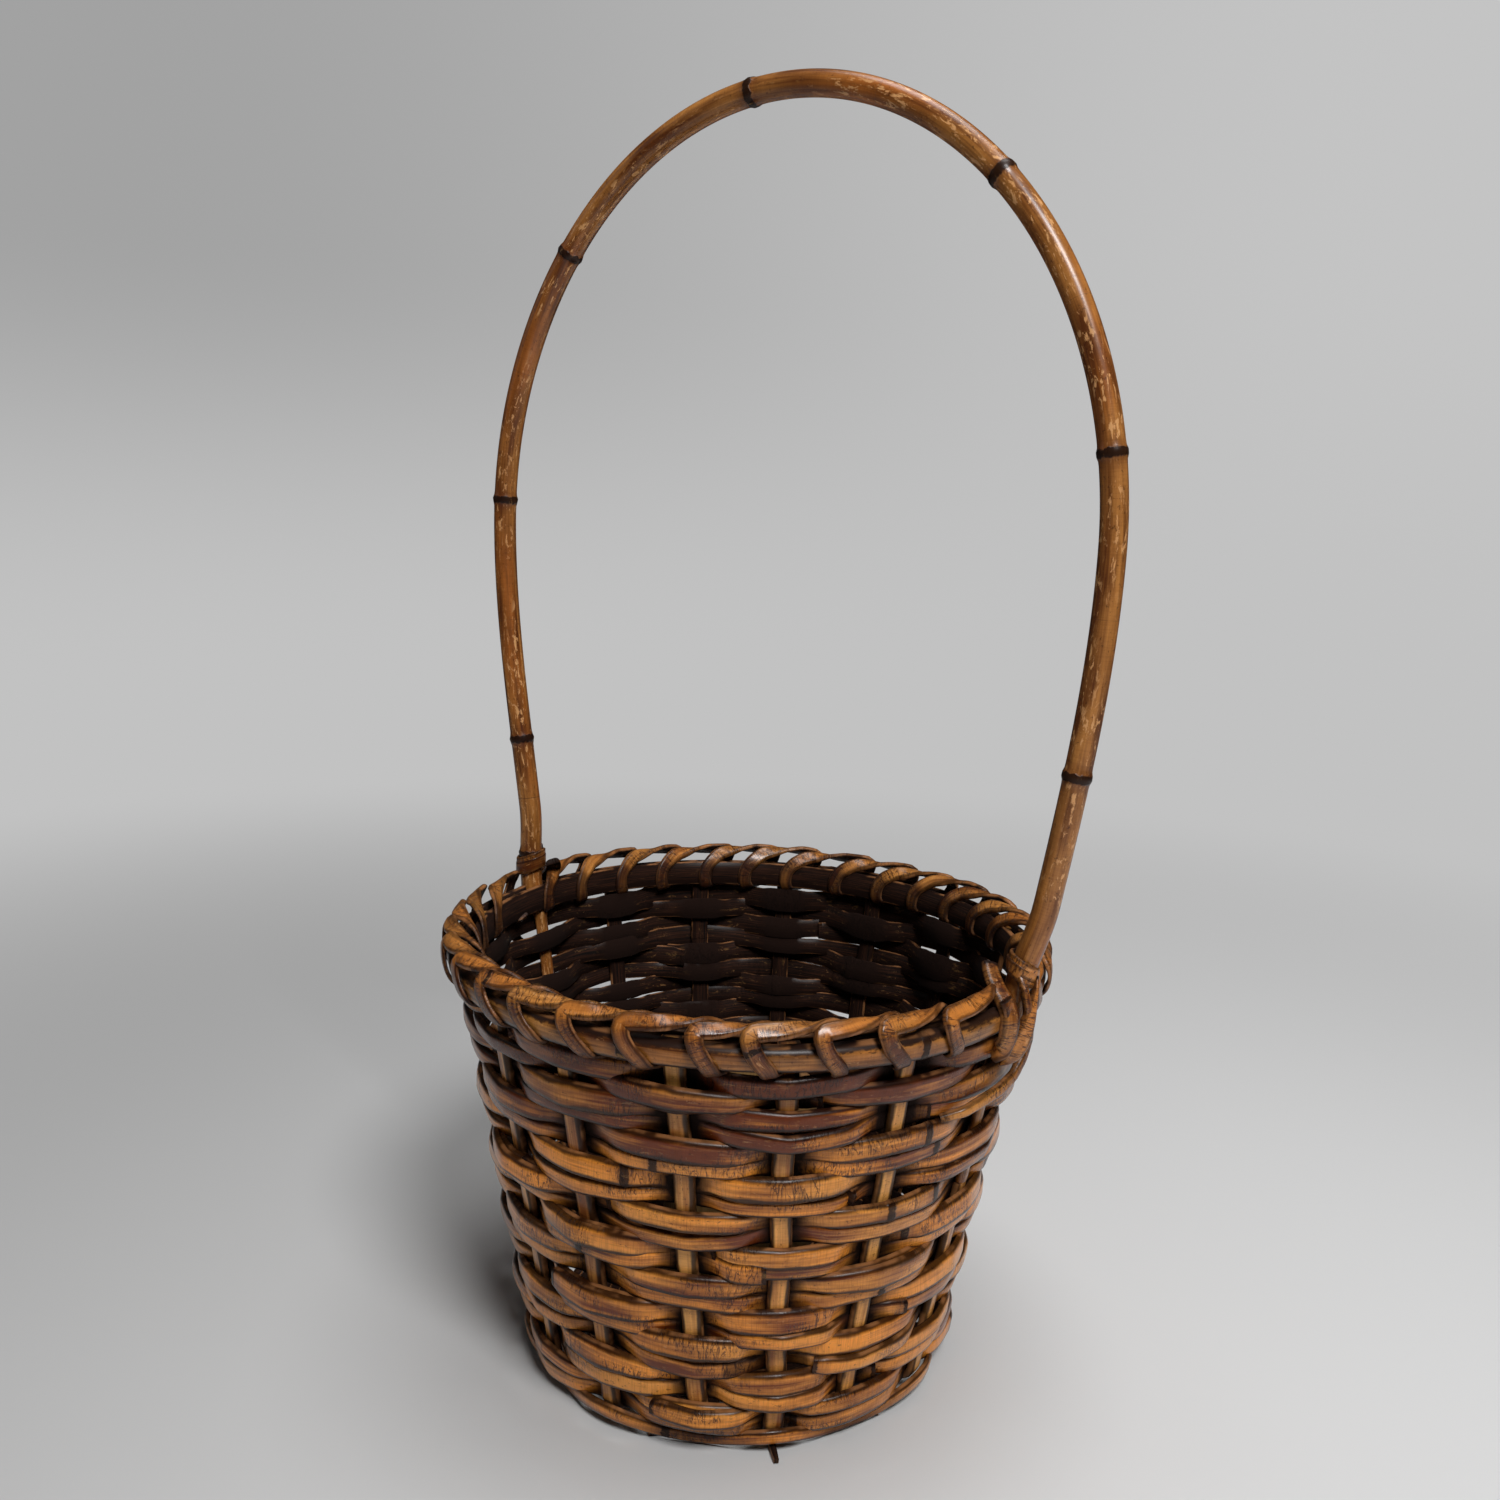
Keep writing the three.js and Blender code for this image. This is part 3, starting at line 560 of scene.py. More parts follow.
weaver_blank = split_cane("weaver_blank", length=0.64, width=weaver_width,
                          thickness=weaver_thickness, round_over=0.0022, edge_break=0.0003,
                          cuts=(19, 20))
for row in range(row_count):
    source = random.Random(100 + row)
    single = row >= paired_rows
    band = paired_rows // 2 + row - paired_rows if single else row // 2
    upper = row % 2 == 1
    phase = (1 - band) % 2
    stake_out = phase + 2 * ((row * 3 + row // 2) % 8)
    begin, stop = stake_out - start_before, stake_out + run_on
    if row in starts_at:
        begin = starts_at[row]
        stop = begin + spliced_run
    elif row in stops_at:
        stop = stops_at[row] + stake_count
        begin = stop - spliced_run
    places = np.linspace(begin, stop, 2400)
    swing = np.cos(math.pi * (places - phase))
    wave = (np.tanh(wave_slope * (swing + wave_shift)) - wave_middle) / wave_half
    rounder = np.arcsin(np.clip(swing, -1, 1)) / (math.pi / 2)
    wave = (1 - round_share) * wave + round_share * rounder
    outside = np.clip(wave, 0, 1)
    # Where its two ends overlap, one rides up over the other
    head = np.clip((begin + splice_places - places) / splice_ease, 0, 1)
    tail = np.clip((places - stop + splice_places) / splice_ease, 0, 1)
    upper_end, lower_end = (head, tail) if row in starts_at else (tail, head)
    lift = splice_lift * (upper_end * (1 + wave) / 2 - lower_end * (1 - wave) / 2)
    height = first_row + row * row_pitch
    turns = turn_at(places, height)
    spread = 0.0 if single else pair_spread[upper]
    sag = uneven(places, source, sag_drift) - 0.0002
    height = height + uneven(places, source, upper_drift if upper else lower_drift)
    height = height + outside * spread - sag * (0.4 * wave + 0.6 * swing)
    wide = pair_width[upper] * (1 - narrow_share + narrow_share * swing)
    wide = wide + np.clip(-swing - press_from, 0, press_width)
    wide = wide * (1 + uneven(places, source, width_drift))
    wide = wide * (1 + 0.1 * np.clip(np.sin(turns), 0, 1))
    from_end = np.minimum(places - begin, stop - places)
    wide = wide * (end_share + (1 - end_share) * np.clip(from_end / end_places, 0, 1))
    tilt = (upper_tilt if upper and not single else plain_tilt) * outside
    tilt = tilt + uneven(places, source, tilt_drift)
    reach = weaver_reach * wave - weaver_inset + pair_reach[upper] * outside + lift
    reach = reach + uneven(places, source, reach_drift)
    points = ring(turns, wall_radius(height) + reach, height)
    near_rim = max(0, row - first_dark_row) / (row_count - 1 - first_dark_row)
    # Painted shade where the strip dips behind a stake, and on the top rows painted shadow of the
    # rim
    tuck = np.clip((-dark_from - wave) / dark_over, 0, 1) + rim_shade * near_rim
    if row == bare_row:
        around = places % stake_count
        tuck = np.where((around > bare_from) & (around < bare_to), bare_grime, tuck)
    line = route(points, ring(turns, 1.0, -flare), wide=wide, tuck=tuck, tilt=tilt)
    length = line["run"][-1]
    seen = [place + stake_count * (place < begin) for place in knots_seen.get(row, ())]
    knots = [0.0, length] + [np.interp(place, places, line["run"]) for place in seen]
    spot = source.uniform(0.03, 0.16)
    while spot < length:
        if not front_from < np.interp(spot, line["run"], places) % stake_count < front_to:
            knots.append(spot)
        spot += source.uniform(0.10, 0.24)
    tone = plain_tone + dark_tone * near_rim + source.uniform(-0.16, 0.14)
    strip = lay(weaver_blank, f"cane_weaver_{row + 1:02}", line, tone=tone, knots=knots,
                swell=0.10, shift=row * 0.83, shade=uneven(places, source, shade_drift))
    finished(strip, weaver_finish, "weaver_cane", f"weaver_{row + 1:02}")


# Foot round. One strand pushed down hard against the bend of the stakes, out round one and down
# below the next, so that the first band has something to sit on.
foot_start, foot_height, foot_dip, foot_reach, foot_swing = 3.1, 0.0050, 0.0018, 0.0014, 0.0019
foot_places = np.linspace(foot_start, foot_start + full_round, 1600)
foot_turns = turn_at(foot_places, 0)
wave = np.cos(math.pi * foot_places)
height = foot_height + foot_dip * wave + 0.0002 * np.sin(5 * foot_turns)
points = ring(foot_turns, wall_radius(height) + foot_reach + foot_swing * wave, height)
# It is painted darker, as shade, where it dips below a stake
line = route(points, ring(foot_turns, 1.0, -flare), wide=0.72 + 0.06 * wave, thick=0.85,
             tuck=0.25 - 0.3 * wave)
foot_strand = lay(weaver_blank, "cane_foot_round", line, tone=0.05, knots=(0.11, 0.33, 0.52))
finished(foot_strand, weaver_finish, "weaver_cane", "foot_round")
put_away(weaver_blank)


# Handle. One thin culm bent over heat into a tall arch. Its dark knots stand proud, and each
# foot is split down to a flat tongue that runs into the weave in place of a stake.
culm_radius, culm_length = 0.0048, 0.96
arch_half_width, arch_shoulder, arch_top = 0.137, 0.3365, 0.4995
# The arch leans a little to the right, and its legs more so just above the rim
arch_lean, leg_lean, leg_lean_height, lean_start = 0.003, 0.004, 0.21, 0.1742
foot_x, foot_slope = wall_radius(hoop_bottom) + 0.0033, 0.12
tongue_wide, tongue_thick = 0.72, 0.42
tongue_steps, leg_steps, arch_steps = 80, 200, 600
culm_knots = (0.0248, 0.0772, 0.1834, 0.2921, 0.3970, 0.5099, 0.6145, 0.7257)


def eased(share):
    share = np.clip(share, 0, 1)
    return share * share * (3 - 2 * share)


def arch_lean_at(height):
    low = leg_lean * eased((height - lean_start) / (leg_lean_height - lean_start))
    share = eased((height - leg_lean_height) / (arch_shoulder - leg_lean_height))
    return low + (arch_lean - leg_lean) * share


def leg_x(side, height):
    """The culm's middle below the widest place, on the left (-1) or the right (1)."""
    rise = arch_shoulder - hoop_bottom
    share = (height - hoop_bottom) / rise
    half = foot_x + (arch_half_width - foot_x) * eased(share)
    half = half + share * (1 - share) ** 2 * foot_slope * rise
    return side * half + arch_lean_at(height)


def on_tongues(share):
    """A share of the culm's girth that holds for the two tongues only."""
    tongue = np.full(tongue_steps, share)
    shares = np.concatenate([tongue, np.ones(2 * leg_steps + arch_steps), tongue])
    return smoothed(shares, np.ones(9))


leg_heights = np.linspace(hoop_bottom, arch_shoulder, leg_steps, endpoint=False)
bow = np.linspace(math.pi, 0, arch_steps)
left_leg = points_at(leg_x(-1, leg_heights), 0.0, leg_heights)
right_leg = points_at(leg_x(1, leg_heights), 0.0, leg_heights)
arch = points_at(arch_half_width * np.cos(bow) + arch_lean, 0.0,
                 arch_shoulder + (arch_top - arch_shoulder) * np.sin(bow))
tongue_heights = np.linspace(tongue_bottom, hoop_bottom - 0.0019, tongue_steps)
left_tongue = points_at(-wall_radius(tongue_heights), 0.0, tongue_heights)
right_tongue = left_tongue[::-1] * np.array([-1, 1, 1])
points = np.concatenate([left_tongue, left_leg, arch, right_leg[::-1], right_tongue])
outward = (points - np.array([0, 0, 0.25])) * np.array([1, 1, 0.6])

bpy.ops.object.select_all(action="DESELECT")
bpy.ops.mesh.primitive_cylinder_add(vertices=28, radius=culm_radius, depth=culm_length,
                                    location=(culm_length / 2, 0, 0), rotation=(0, math.pi / 2, 0))
bpy.ops.object.transform_apply(location=True, rotation=True, scale=True)
culm_blank = bpy.context.object
bpy.ops.object.mode_set(mode="EDIT")
bpy.ops.mesh.select_mode(type="EDGE")
cut_across((24, 24))
bpy.ops.object.mode_set(mode="OBJECT")
bpy.ops.object.shade_smooth_by_angle(angle=math.radians(50))
unroll(culm_blank, girth_radius=culm_radius)
line = route(points, outward, wide=on_tongues(tongue_wide), thick=on_tongues(tongue_thick))
knots = [line["run"][tongue_steps] + distance for distance in culm_knots]
culm = lay(culm_blank, "culm_handle", line, knots=knots, swell=0.15, split=False)
put_away(culm_blank)
handle_finish = cane_finish("culm", colour(162, 94, 38), colour(92, 48, 18), ribs=0.3,
                            cracks=0.1, knot_width=1.7, shade_and_grime=0.0, stains=0.35, wear=0.4,
                            roughness=0.34, flecks=1.0)
finished(culm, handle_finish, "handle_culm", "handle")


# Hoops. Two half round lengths outside the stakes, whose ends butt against the feet of the
# handle, and one flat closed length inside, which clamp the tops of the stakes between them.
outer_middle, inner_middle, hoop_seat = 0.1682, 0.1687, 0.0021
outer_width, outer_thickness = 0.010, 0.0052
inner_width, inner_thickness, inner_ends_at, inner_ends_gap = 0.011, 0.0026, 2.3, 0.002
outer_radius = wall_radius(outer_middle) + hoop_seat + outer_thickness / 2
inner_radius = wall_radius(inner_middle) - hoop_seat - inner_thickness / 2
hoop_end_gap = 0.0006
hoop_start = math.asin((culm_radius + hoop_end_gap) / outer_radius)
hoop_finish = cane_finish("hoop cane", colour(172, 108, 46), colour(70, 34, 14), ribs=0.25,
                          cracks=0.25, knot_width=1.6, shade_and_grime=0.6, stains=0.9, wear=0.7,
                          roughness=0.4, soot=0.85)


def ripple(turns, source, size, waves):
    """A small unevenness round the basket that closes on itself."""
    total = np.zeros_like(turns)
    for count in waves:
        total += source.uniform(-1, 1) * np.cos(count * turns + source.uniform(0, math.tau))
    return size * total / math.sqrt(len(waves))


hoop_blank = split_cane("hoop_blank", length=0.37, width=outer_width, thickness=outer_thickness,
                        round_over=0.0036, edge_break=0.0004, cuts=(15, 15))
for name, start in (("back", 0.0), ("front", math.pi)):
    source = random.Random(len(name))
    turns = np.linspace(start + hoop_start, start + math.pi - hoop_start, 900)
    height = outer_middle + ripple(turns, source, 0.0004, (2, 3, 5))
    points = ring(turns, outer_radius + flare * (height - outer_middle), height)
    line = route(points, ring(turns, 1.0, -flare), wide=1 + ripple(turns, source, 0.03, (4, 7)))
    hoop = lay(hoop_blank, f"cane_hoop_{name}", line, tone=0.05, shift=start,
               knots=(0.0, 0.09, 0.205, 0.31, 0.36), swell=0.06)
    finished(hoop, hoop_finish, "hoop_cane", f"outer_hoop_{name}")
put_away(hoop_blank)

inner_finish = cane_finish("inner hoop bamboo", colour(104, 72, 56), colour(52, 36, 30),
                           ribs=0.1, cracks=0.1, shade_and_grime=0.3, stains=0.5, wear=0.1, roughness=0.5)
inner_blank = split_cane("inner_blank", length=0.69, width=inner_width, thickness=inner_thickness,
                         round_over=0.0008, edge_break=0.0004, cuts=(15, 15))
turns = np.linspace(inner_ends_at, inner_ends_at + math.tau - inner_ends_gap, 1200)
points = ring(turns, inner_radius, inner_middle + 0.0003 * np.sin(3 * turns))
line = route(points, ring(turns, 1.0, -flare), tuck=0.1)
inner_hoop = lay(inner_blank, "bamboo_inner_hoop", line, knots=(0.0, 0.24, 0.47))
finished(inner_hoop, inner_finish, "inner_hoop_bamboo", "inner_hoop")
put_away(inner_blank)


# Rim lashing. On each half of the rim one flat strip goes down outside the hoops, in below
# them, up inside and back over the top in a loose arch to its next loop, so that the arches
# overlap like a rope along the rim.
outer_gap, inner_gap = 0.0008, 0.0009
lash_out = hoop_seat + outer_thickness + outer_gap
lash_in = -(hoop_seat + inner_thickness + inner_gap)
lash_bottom, lash_middle, lash_top = 0.1621, 0.1678, 0.1755
lash_loops, lash_points, lash_softness = 16, 6000, 0.0042
# The strip faces away from this line inside the rim, given as its place out and up
core_out, core_height = 0.0012, 0.1710
# The strip is painted darker below and behind the hoops, as painted shade with some grime.
# Where it lies on top it is thicker and painted paler, as painted light from above, and below
# the top it is painted darker, as painted shade
dark_height, arch_height, leg_height = 0.166, 0.1735, lash_top + 0.001
# How far round the strip moves on while it passes below the hoops
passes_under = 0.05
lash_finish = cane_finish("lashing strip", colour(196, 122, 54), colour(88, 42, 15), ribs=0.35,
                          cracks=0.58, knot_width=1.0, shade_and_grime=1.0, stains=0.75, wear=0.7,
                          roughness=0.28, soot=0.4, flecks=0.55, edges=0.5)
lash_blank = split_cane("lash_blank", length=1.0, width=0.0060, thickness=0.0018,
                        round_over=0.0012, edge_break=0.0003, cuts=(29, 29))


def rim_point(angle, out, height):
    return ring(angle, wall_radius(height) + out, height)


def round_off(corners, count, softness):
    """A smooth line through corners."""
    corners = np.array(corners)
    steps = np.linalg.norm(np.diff(corners, axis=0), axis=1)
    run = np.concatenate([[0], np.cumsum(steps)])
    fine = np.linspace(0, run[-1], count)
    kernel = np.hanning(2 * round(softness / (run[-1] / count)) + 3)
    return points_at(*(smoothed(np.interp(fine, run, axis), kernel) for axis in corners.T))


def off_wall(points):
    """How far points lie outside the middle of the wall."""
    return np.hypot(points[:, 0], points[:, 1]) - wall_radius(points[:, 2])


def facing_out(points):
    """Facings of a strip wrapped round the rim: away from the core of the rim."""
    angle = np.arctan2(points[:, 1], points[:, 0])
    return ring(angle, 2.2 * (off_wall(points) - core_out), points[:, 2] - core_height)


for name, first_stake in (("back", 0), ("front", 8)):
    source = random.Random(7 + len(name))
    corners = []
    for loop in reversed(range(lash_loops)):
        place = first_stake + (loop + 0.5) / 2 + source.uniform(-0.04, 0.04)
        angle = turn_at(place, lash_top)
        slant = math.radians(source.uniform(1.6, 3.0))
        rise = source.uniform(0.0028, 0.0042)
        inside = angle + slant + passes_under
        # Down over the outer hoop, in below both, and up behind the inner one
        corners += [
            rim_point(angle - 0.022, lash_out - 0.0024, lash_top + 0.0030),
            rim_point(angle - 0.020, lash_out - 0.0002, lash_top + 0.0006),
            rim_point(angle - 0.012, lash_out + 0.0006, lash_top - 0.0030),
            rim_point(angle + 0.35 * slant, lash_out + 0.0008, lash_middle),
            rim_point(angle + 0.9 * slant, lash_out + 0.0002, lash_bottom + 0.0026),
            rim_point(angle + slant, lash_out - 0.0018, lash_bottom - 0.0001),
            rim_point(inside - 0.6 * passes_under, 0.001, lash_bottom - 0.0003),
            rim_point(inside - 0.2 * passes_under, lash_in + 0.0010, lash_bottom + 0.0003),
            rim_point(inside, lash_in - 0.0002, lash_bottom + 0.0030),
        ]
        if loop > 0:
            # Back over the top in an arch
            back = inside - turn_at(place - 0.5, lash_top)
            corners += [rim_point(inside - share * back, out, lash_top + lift)
                        for share, out, lift in (
                            (0.01, lash_in - 0.0005, -0.0048), (0.10, lash_in, -0.0008),
                            (0.28, -0.0026, 0.8 * rise), (0.52, 0.0014, rise),
                            (0.80, 0.0046, rise))]
    points = round_off(corners, lash_points, lash_softness)
    height = points[:, 2]
    below = 0.7 * np.clip((dark_height - height) / 0.004, 0, 1)
    behind = 0.6 * np.clip((0.002 - off_wall(points)) / 0.005, 0, 1)
    behind = behind * np.clip((lash_top - height) / 0.002, 0, 1)
    on_top = eased((height - arch_height) / 0.004)
    leg = np.clip((leg_height - height) / 0.003, 0, 1)
    wide = 1.04 + 0.06 * on_top
    wide = wide + ripple(np.linspace(0, math.tau, lash_points), source, 0.06, (9, 17, 31))
    line = route(points, facing_out(points), tuck=np.maximum(below, behind),
                 thick=0.85 + 0.4 * on_top, wide=wide)
    # The arches on top are painted paler as light from above, and the rest darker as shade
    lashing = lay(lash_blank, f"rim_strip_{name}", line, knots=(0.0, 0.33, 0.71),
                  shift=first_stake, shade=0.2 * on_top - 0.3 * leg)
    finished(lashing, lash_finish, "lashing_strip", f"rim_lashing_{name}")
put_away(lash_blank)


# Foot bindings. Just above the rim a wide strip is wound twice round each foot of the culm and
# pulled tight, so that the handle cannot lift.
binding_middle, binding_climb, binding_slope = 0.1842, 0.0046, 0.0026
binding_turns, binding_start, binding_gap, binding_growth = 2.15, 1.2, 0.0009, 0.0005
band_blank = split_cane("band_blank", length=0.08, width=0.0058, thickness=0.0013,
                        round_over=0.0006, edge_break=0.0002, cuts=(19, 5))
for name, side in (("left", -1), ("right", 1)):
    share = np.linspace(0, 1, 500)
    turns = binding_start + share * binding_turns * math.tau
    height = binding_middle + (0.5 - share) * binding_climb
    height = height + binding_slope * side * np.cos(turns - 3.7)
    radius = culm_radius + binding_gap + binding_growth * share
    points = ring(turns, radius, height) + points_at(leg_x(side, height), 0.0, 0.0)
    wound = lay(band_blank, f"foot_winding_{name}", route(points, ring(turns, 1.0, 0.0)),
                knots=(0.0,), tone=0.1 * side)
    finished(wound, lash_finish, "lashing_strip", f"foot_binding_{name}")
put_away(band_blank)


# Foot braces. The ends of the bindings. Below each winding three strips cross down from the
# foot over the hoops, and a fourth runs off slantwise over the upper bands and tucks in there.
brace_points, brace_softness = 240, 0.0035
brace_blank = split_cane("brace_blank", length=0.06, width=0.0056, thickness=0.0026,
                         round_over=0.0018, edge_break=0.0003, cuts=(19, 5))
# Each corner is so many degrees round from the foot, millimetres out from the wall's middle and
# millimetres up. Facing is in degrees, upward the rise of the facing, and the shares are of the
# blank's width: at the ends, at the broadest place, and how far along that place is
braces = {
    "near": dict(
        narrow=1.15, broad=1.35, broadest=0.5, facing=-30, upward=0.9, tone=-0.05,
        corners=((-1.6, -8.5, 185.0), (-2.9, -6.6, 183.2), (-4.3, -3.4, 180.8),
                 (-5.6, 0.4, 178.4), (-6.8, 5.2, 175.8), (-7.6, 9.2, 172.5),
                 (-7.8, 10.4, 168.4), (-7.6, 10.4, 162.4), (-7.2, 8.8, 158.0),
                 (-6.8, 5.0, 154.5))),
    "far": dict(
        narrow=0.45, broad=0.6, broadest=0.5, facing=-45, upward=0.12, tone=-0.05,
        corners=((-1.5, 1.0, 186.5), (-2.6, 5.0, 182.5), (-3.1, 9.0, 177.2),
                 (-3.0, 11.2, 171.5), (-2.4, 11.2, 165.0), (-1.8, 8.0, 159.0))),
    "outer": dict(
        narrow=0.25, broad=1.5, broadest=0.68, facing=-38, upward=0.12, tone=0.1,
        corners=((-0.2, 8.6, 183.0), (-1.2, 10.6, 179.0), (-2.1, 11.6, 174.5),
                 (-2.7, 12.2, 169.0), (-3.5, 12.2, 163.4), (-3.8, 11.4, 158.0),
                 (-3.8, 10.0, 153.0), (-3.0, 5.5, 148.5))),
    "long": dict(
        narrow=0.6, broad=0.84, broadest=0.5, facing=-8, upward=0.12, tone=-0.05,
        corners=((8.5, 6.0, 160.5), (6.0, 9.0, 154.0), (3.3, 9.8, 147.5), (0.4, 9.6, 142.0),
                 (-4.0, 9.0, 139.5), (-9.0, 8.0, 138.0), (-13.6, 6.8, 136.0),
                 (-17.5, 2.0, 133.5))),
}
for name, opposite in (("right", 0.0), ("left", math.pi)):
    for part, brace in braces.items():
        corners = [rim_point(math.radians(turn) + opposite, out / 1000, height / 1000)
                   for turn, out, height in brace["corners"]]
        points = round_off(corners, brace_points, brace_softness)
        angle = np.arctan2(points[:, 1], points[:, 0])
        share = np.linspace(0, 1, brace_points)
        bulge = share ** (math.log(0.5) / math.log(brace["broadest"]))
        wide = brace["narrow"] + (brace["broad"] - brace["narrow"]) * np.sin(math.pi * bulge)
        outward = ring(angle + math.radians(brace["facing"]), 1.0, brace["upward"])
        line = route(points, outward, wide=wide,
                     tuck=0.7 * np.clip(12 * np.abs(share - 0.5) - 5, 0, 1))
        strip = lay(brace_blank, f"foot_brace_{name}_{part}", line, knots=(0.0,),
                    tone=brace["tone"])
        finished(strip, lash_finish, "lashing_strip", f"foot_binding_{name}")
put_away(brace_blank)


# Base slats. Three split bamboo slats pushed through under the base, which the basket stands
# on. They are scraped flat, and the middle one pokes out past the wall with a blunt dark tip.
slat_heading = math.radians(-47)
slat_width, slat_thickness, slat_spacing = 0.008, 0.0022, 0.042
slat_reach, slat_tip = 0.0835, 0.0935
tip_share, tip_length, slat_end_share, blunt_length = 0.32, 0.011, 0.72, 0.006
slat_finish = cane_finish("slat bamboo", colour(112, 74, 44), colour(58, 36, 24), ribs=0.05,
                          cracks=0.0, shade_and_grime=0.4, stains=0.6, wear=0.2, roughness=0.5)
slat_blank = split_cane("slat_blank", length=0.17, width=slat_width, thickness=slat_thickness,
                        round_over=0.0006, edge_break=0.0005, cuts=(9, 9))
ahead = ring(slat_heading, 1.0, 0.0)
aside = ring(slat_heading + math.pi / 2, 1.0, 0.0)
for slat in range(3):
    offset = (slat - 1) * slat_spacing
    back = math.sqrt(slat_reach ** 2 - offset ** 2)
    front = slat_tip if slat == 1 else back
    reach = np.linspace(-back, front, 200)
    points = reach[:, None] * ahead + offset * aside + np.array([0, 0, slat_thickness / 2])
    from_end = np.minimum(reach + back, front - reach)
    wide = slat_end_share + (1 - slat_end_share) * np.clip(from_end / blunt_length, 0, 1)
    if slat == 1:
        off_tip = eased((slat_tip - tip_length - reach) / blunt_length)
        wide = wide * (tip_share + (1 - tip_share) * off_tip)
    laid = lay(slat_blank, f"bamboo_slat_{slat + 1}", route(points, facing_down, wide=wide),
               tone=0.08 * slat - 0.1, knots=(0.0, 0.055 + 0.03 * slat, front + back),
               shift=slat * 0.5)
    finished(laid, slat_finish, "slat_bamboo", f"base_slat_{slat + 1}")
put_away(slat_blank)


# Water tube. A length of thick dry bamboo sawn off just below a knot, which closes it. It
# stands loose on the heart of the base and lifts out.
tube_radius, tube_height, tube_wall, tube_floor = 0.032, 0.1, 0.005, 0.009
tube_bottom, floor_hollow, hollow_margin, rim_break = 0.0074, 0.0018, 0.006, 0.0007
tube_top, tube_knot = tube_bottom + tube_height, tube_bottom + 0.0075
bpy.ops.object.select_all(action="DESELECT")
bpy.ops.mesh.primitive_cylinder_add(vertices=72, radius=tube_radius, depth=tube_height,
                                    location=(0, 0, tube_bottom + tube_height / 2))
bpy.ops.object.transform_apply(location=True, rotation=False, scale=False)
tube = bpy.context.object
tube.name = tube.data.name = "bamboo_water_tube"


def select_faces(test):
    """In edit mode, selects only the faces whose middle and normal pass the test."""
    bpy.ops.mesh.select_mode(type="FACE")
    bpy.ops.mesh.select_all(action="DESELECT")
    shape = bmesh.from_edit_mesh(bpy.context.object.data)
    for face in shape.faces:
        if test(face.calc_center_median(), face.normal):
            face.select_set(True)
    bmesh.update_edit_mesh(bpy.context.object.data)


def is_rim(a, b):
    """Whether an edge runs round the sawn top, at one distance from the axis."""
    level_step = abs(math.hypot(a.x, a.y) - math.hypot(b.x, b.y))
    return min(a.z, b.z) > tube_top - 1e-5 and level_step < 1e-4


bpy.ops.object.mode_set(mode="EDIT")
select_faces(lambda middle, normal: normal.z > 0.9)
bpy.ops.mesh.inset(thickness=tube_wall)
bpy.ops.mesh.extrude_region_move(
    TRANSFORM_OT_translate={"value": (0, 0, tube_floor - tube_height)})
bpy.ops.mesh.inset(thickness=hollow_margin)
bpy.ops.transform.translate(value=(0, 0, -floor_hollow))
bpy.ops.mesh.select_mode(type="EDGE")
select_edges(is_rim)
bpy.ops.mesh.bevel(offset=rim_break, segments=2, affect="EDGES")
select_edges(lambda a, b: abs(a.z - b.z) > tube_height / 2)
bpy.ops.mesh.subdivide(number_cuts=48)
bpy.ops.object.mode_set(mode="OBJECT")
spots = np.empty(3 * len(tube.data.vertices))
tube.data.vertices.foreach_get("co", spots)
spots = spots.reshape(-1, 3)
angles = np.arctan2(spots[:, 1], spots[:, 0])
# The knot stands out as a ridge with a groove above it, and the stem is not quite round
from_knot = (spots[:, 2] - tube_knot) / 0.0014
ridge = np.exp(-from_knot ** 2) - 0.8 * np.exp(-((from_knot - 2.6) ** 2))
outer = np.hypot(spots[:, 0], spots[:, 1]) > tube_radius - 0.001
grow = 0.996 - 0.006 * np.abs(np.sin(angles + 0.4)) + 0.00385 * outer * ridge
spots[:, :2] *= grow[:, None]
tube.data.vertices.foreach_set("co", spots.ravel())
tube.data.update()
bpy.ops.object.shade_smooth_by_angle(angle=math.radians(40))

tube_finish = bpy.data.materials.new("tube bamboo")
tube_finish.use_nodes = True
tree = tube_finish.node_tree
shader = tree.nodes["Principled BSDF"]
on_tube = node(tree, "TexCoord").outputs["Object"]


def tube_noise(sizes, detail=3.0):
    scaled = node(tree, "VectorMath", {0: on_tube, 1: sizes}, operation="MULTIPLY").outputs[0]
    return node(tree, "TexNoise", {"Vector": scaled, "Scale": 1.0, "Detail": detail}).outputs[0]


streaks = tube_noise((900, 900, 18))
patches = tube_noise((40, 40, 22))
height_at = node(tree, "SeparateXYZ", {0: on_tube}).outputs["Z"]
off_knot = maths(tree, "ABSOLUTE", plus(tree, -tube_knot, height_at))
sawn = between(tree, height_at, tube_top - 0.0012, tube_top - 0.0002)
fibre_dots = between(tree, tube_noise((1500, 1500, 200)), 0.50, 0.62)
sawn_wood = blend(tree, fibre_dots, colour(128, 92, 56), colour(70, 44, 26))
skin = blend(tree, between(tree, patches, 0.3, 0.7), colour(104, 76, 44), colour(152, 118, 72))
skin = tinted(tree, skin, colour(78, 56, 32), between(tree, streaks, 0.45, 0.75), 0.5)
skin = tinted(tree, skin, colour(56, 38, 24), between(tree, off_knot, 0.0022, 0.0006), 0.7)
tree.links.new(tinted(tree, skin, sawn_wood, sawn), shader.inputs["Base Color"])
tree.links.new(plus(tree, 0.34, streaks, 0.25), shader.inputs["Roughness"])
bump = node(tree, "Bump", {"Height": streaks, "Distance": 0.0002, "Strength": 1.0})
tree.links.new(bump.outputs[0], shader.inputs["Normal"])
finished(tube, tube_finish, "tube_bamboo", "water_tube", body="water_tube")


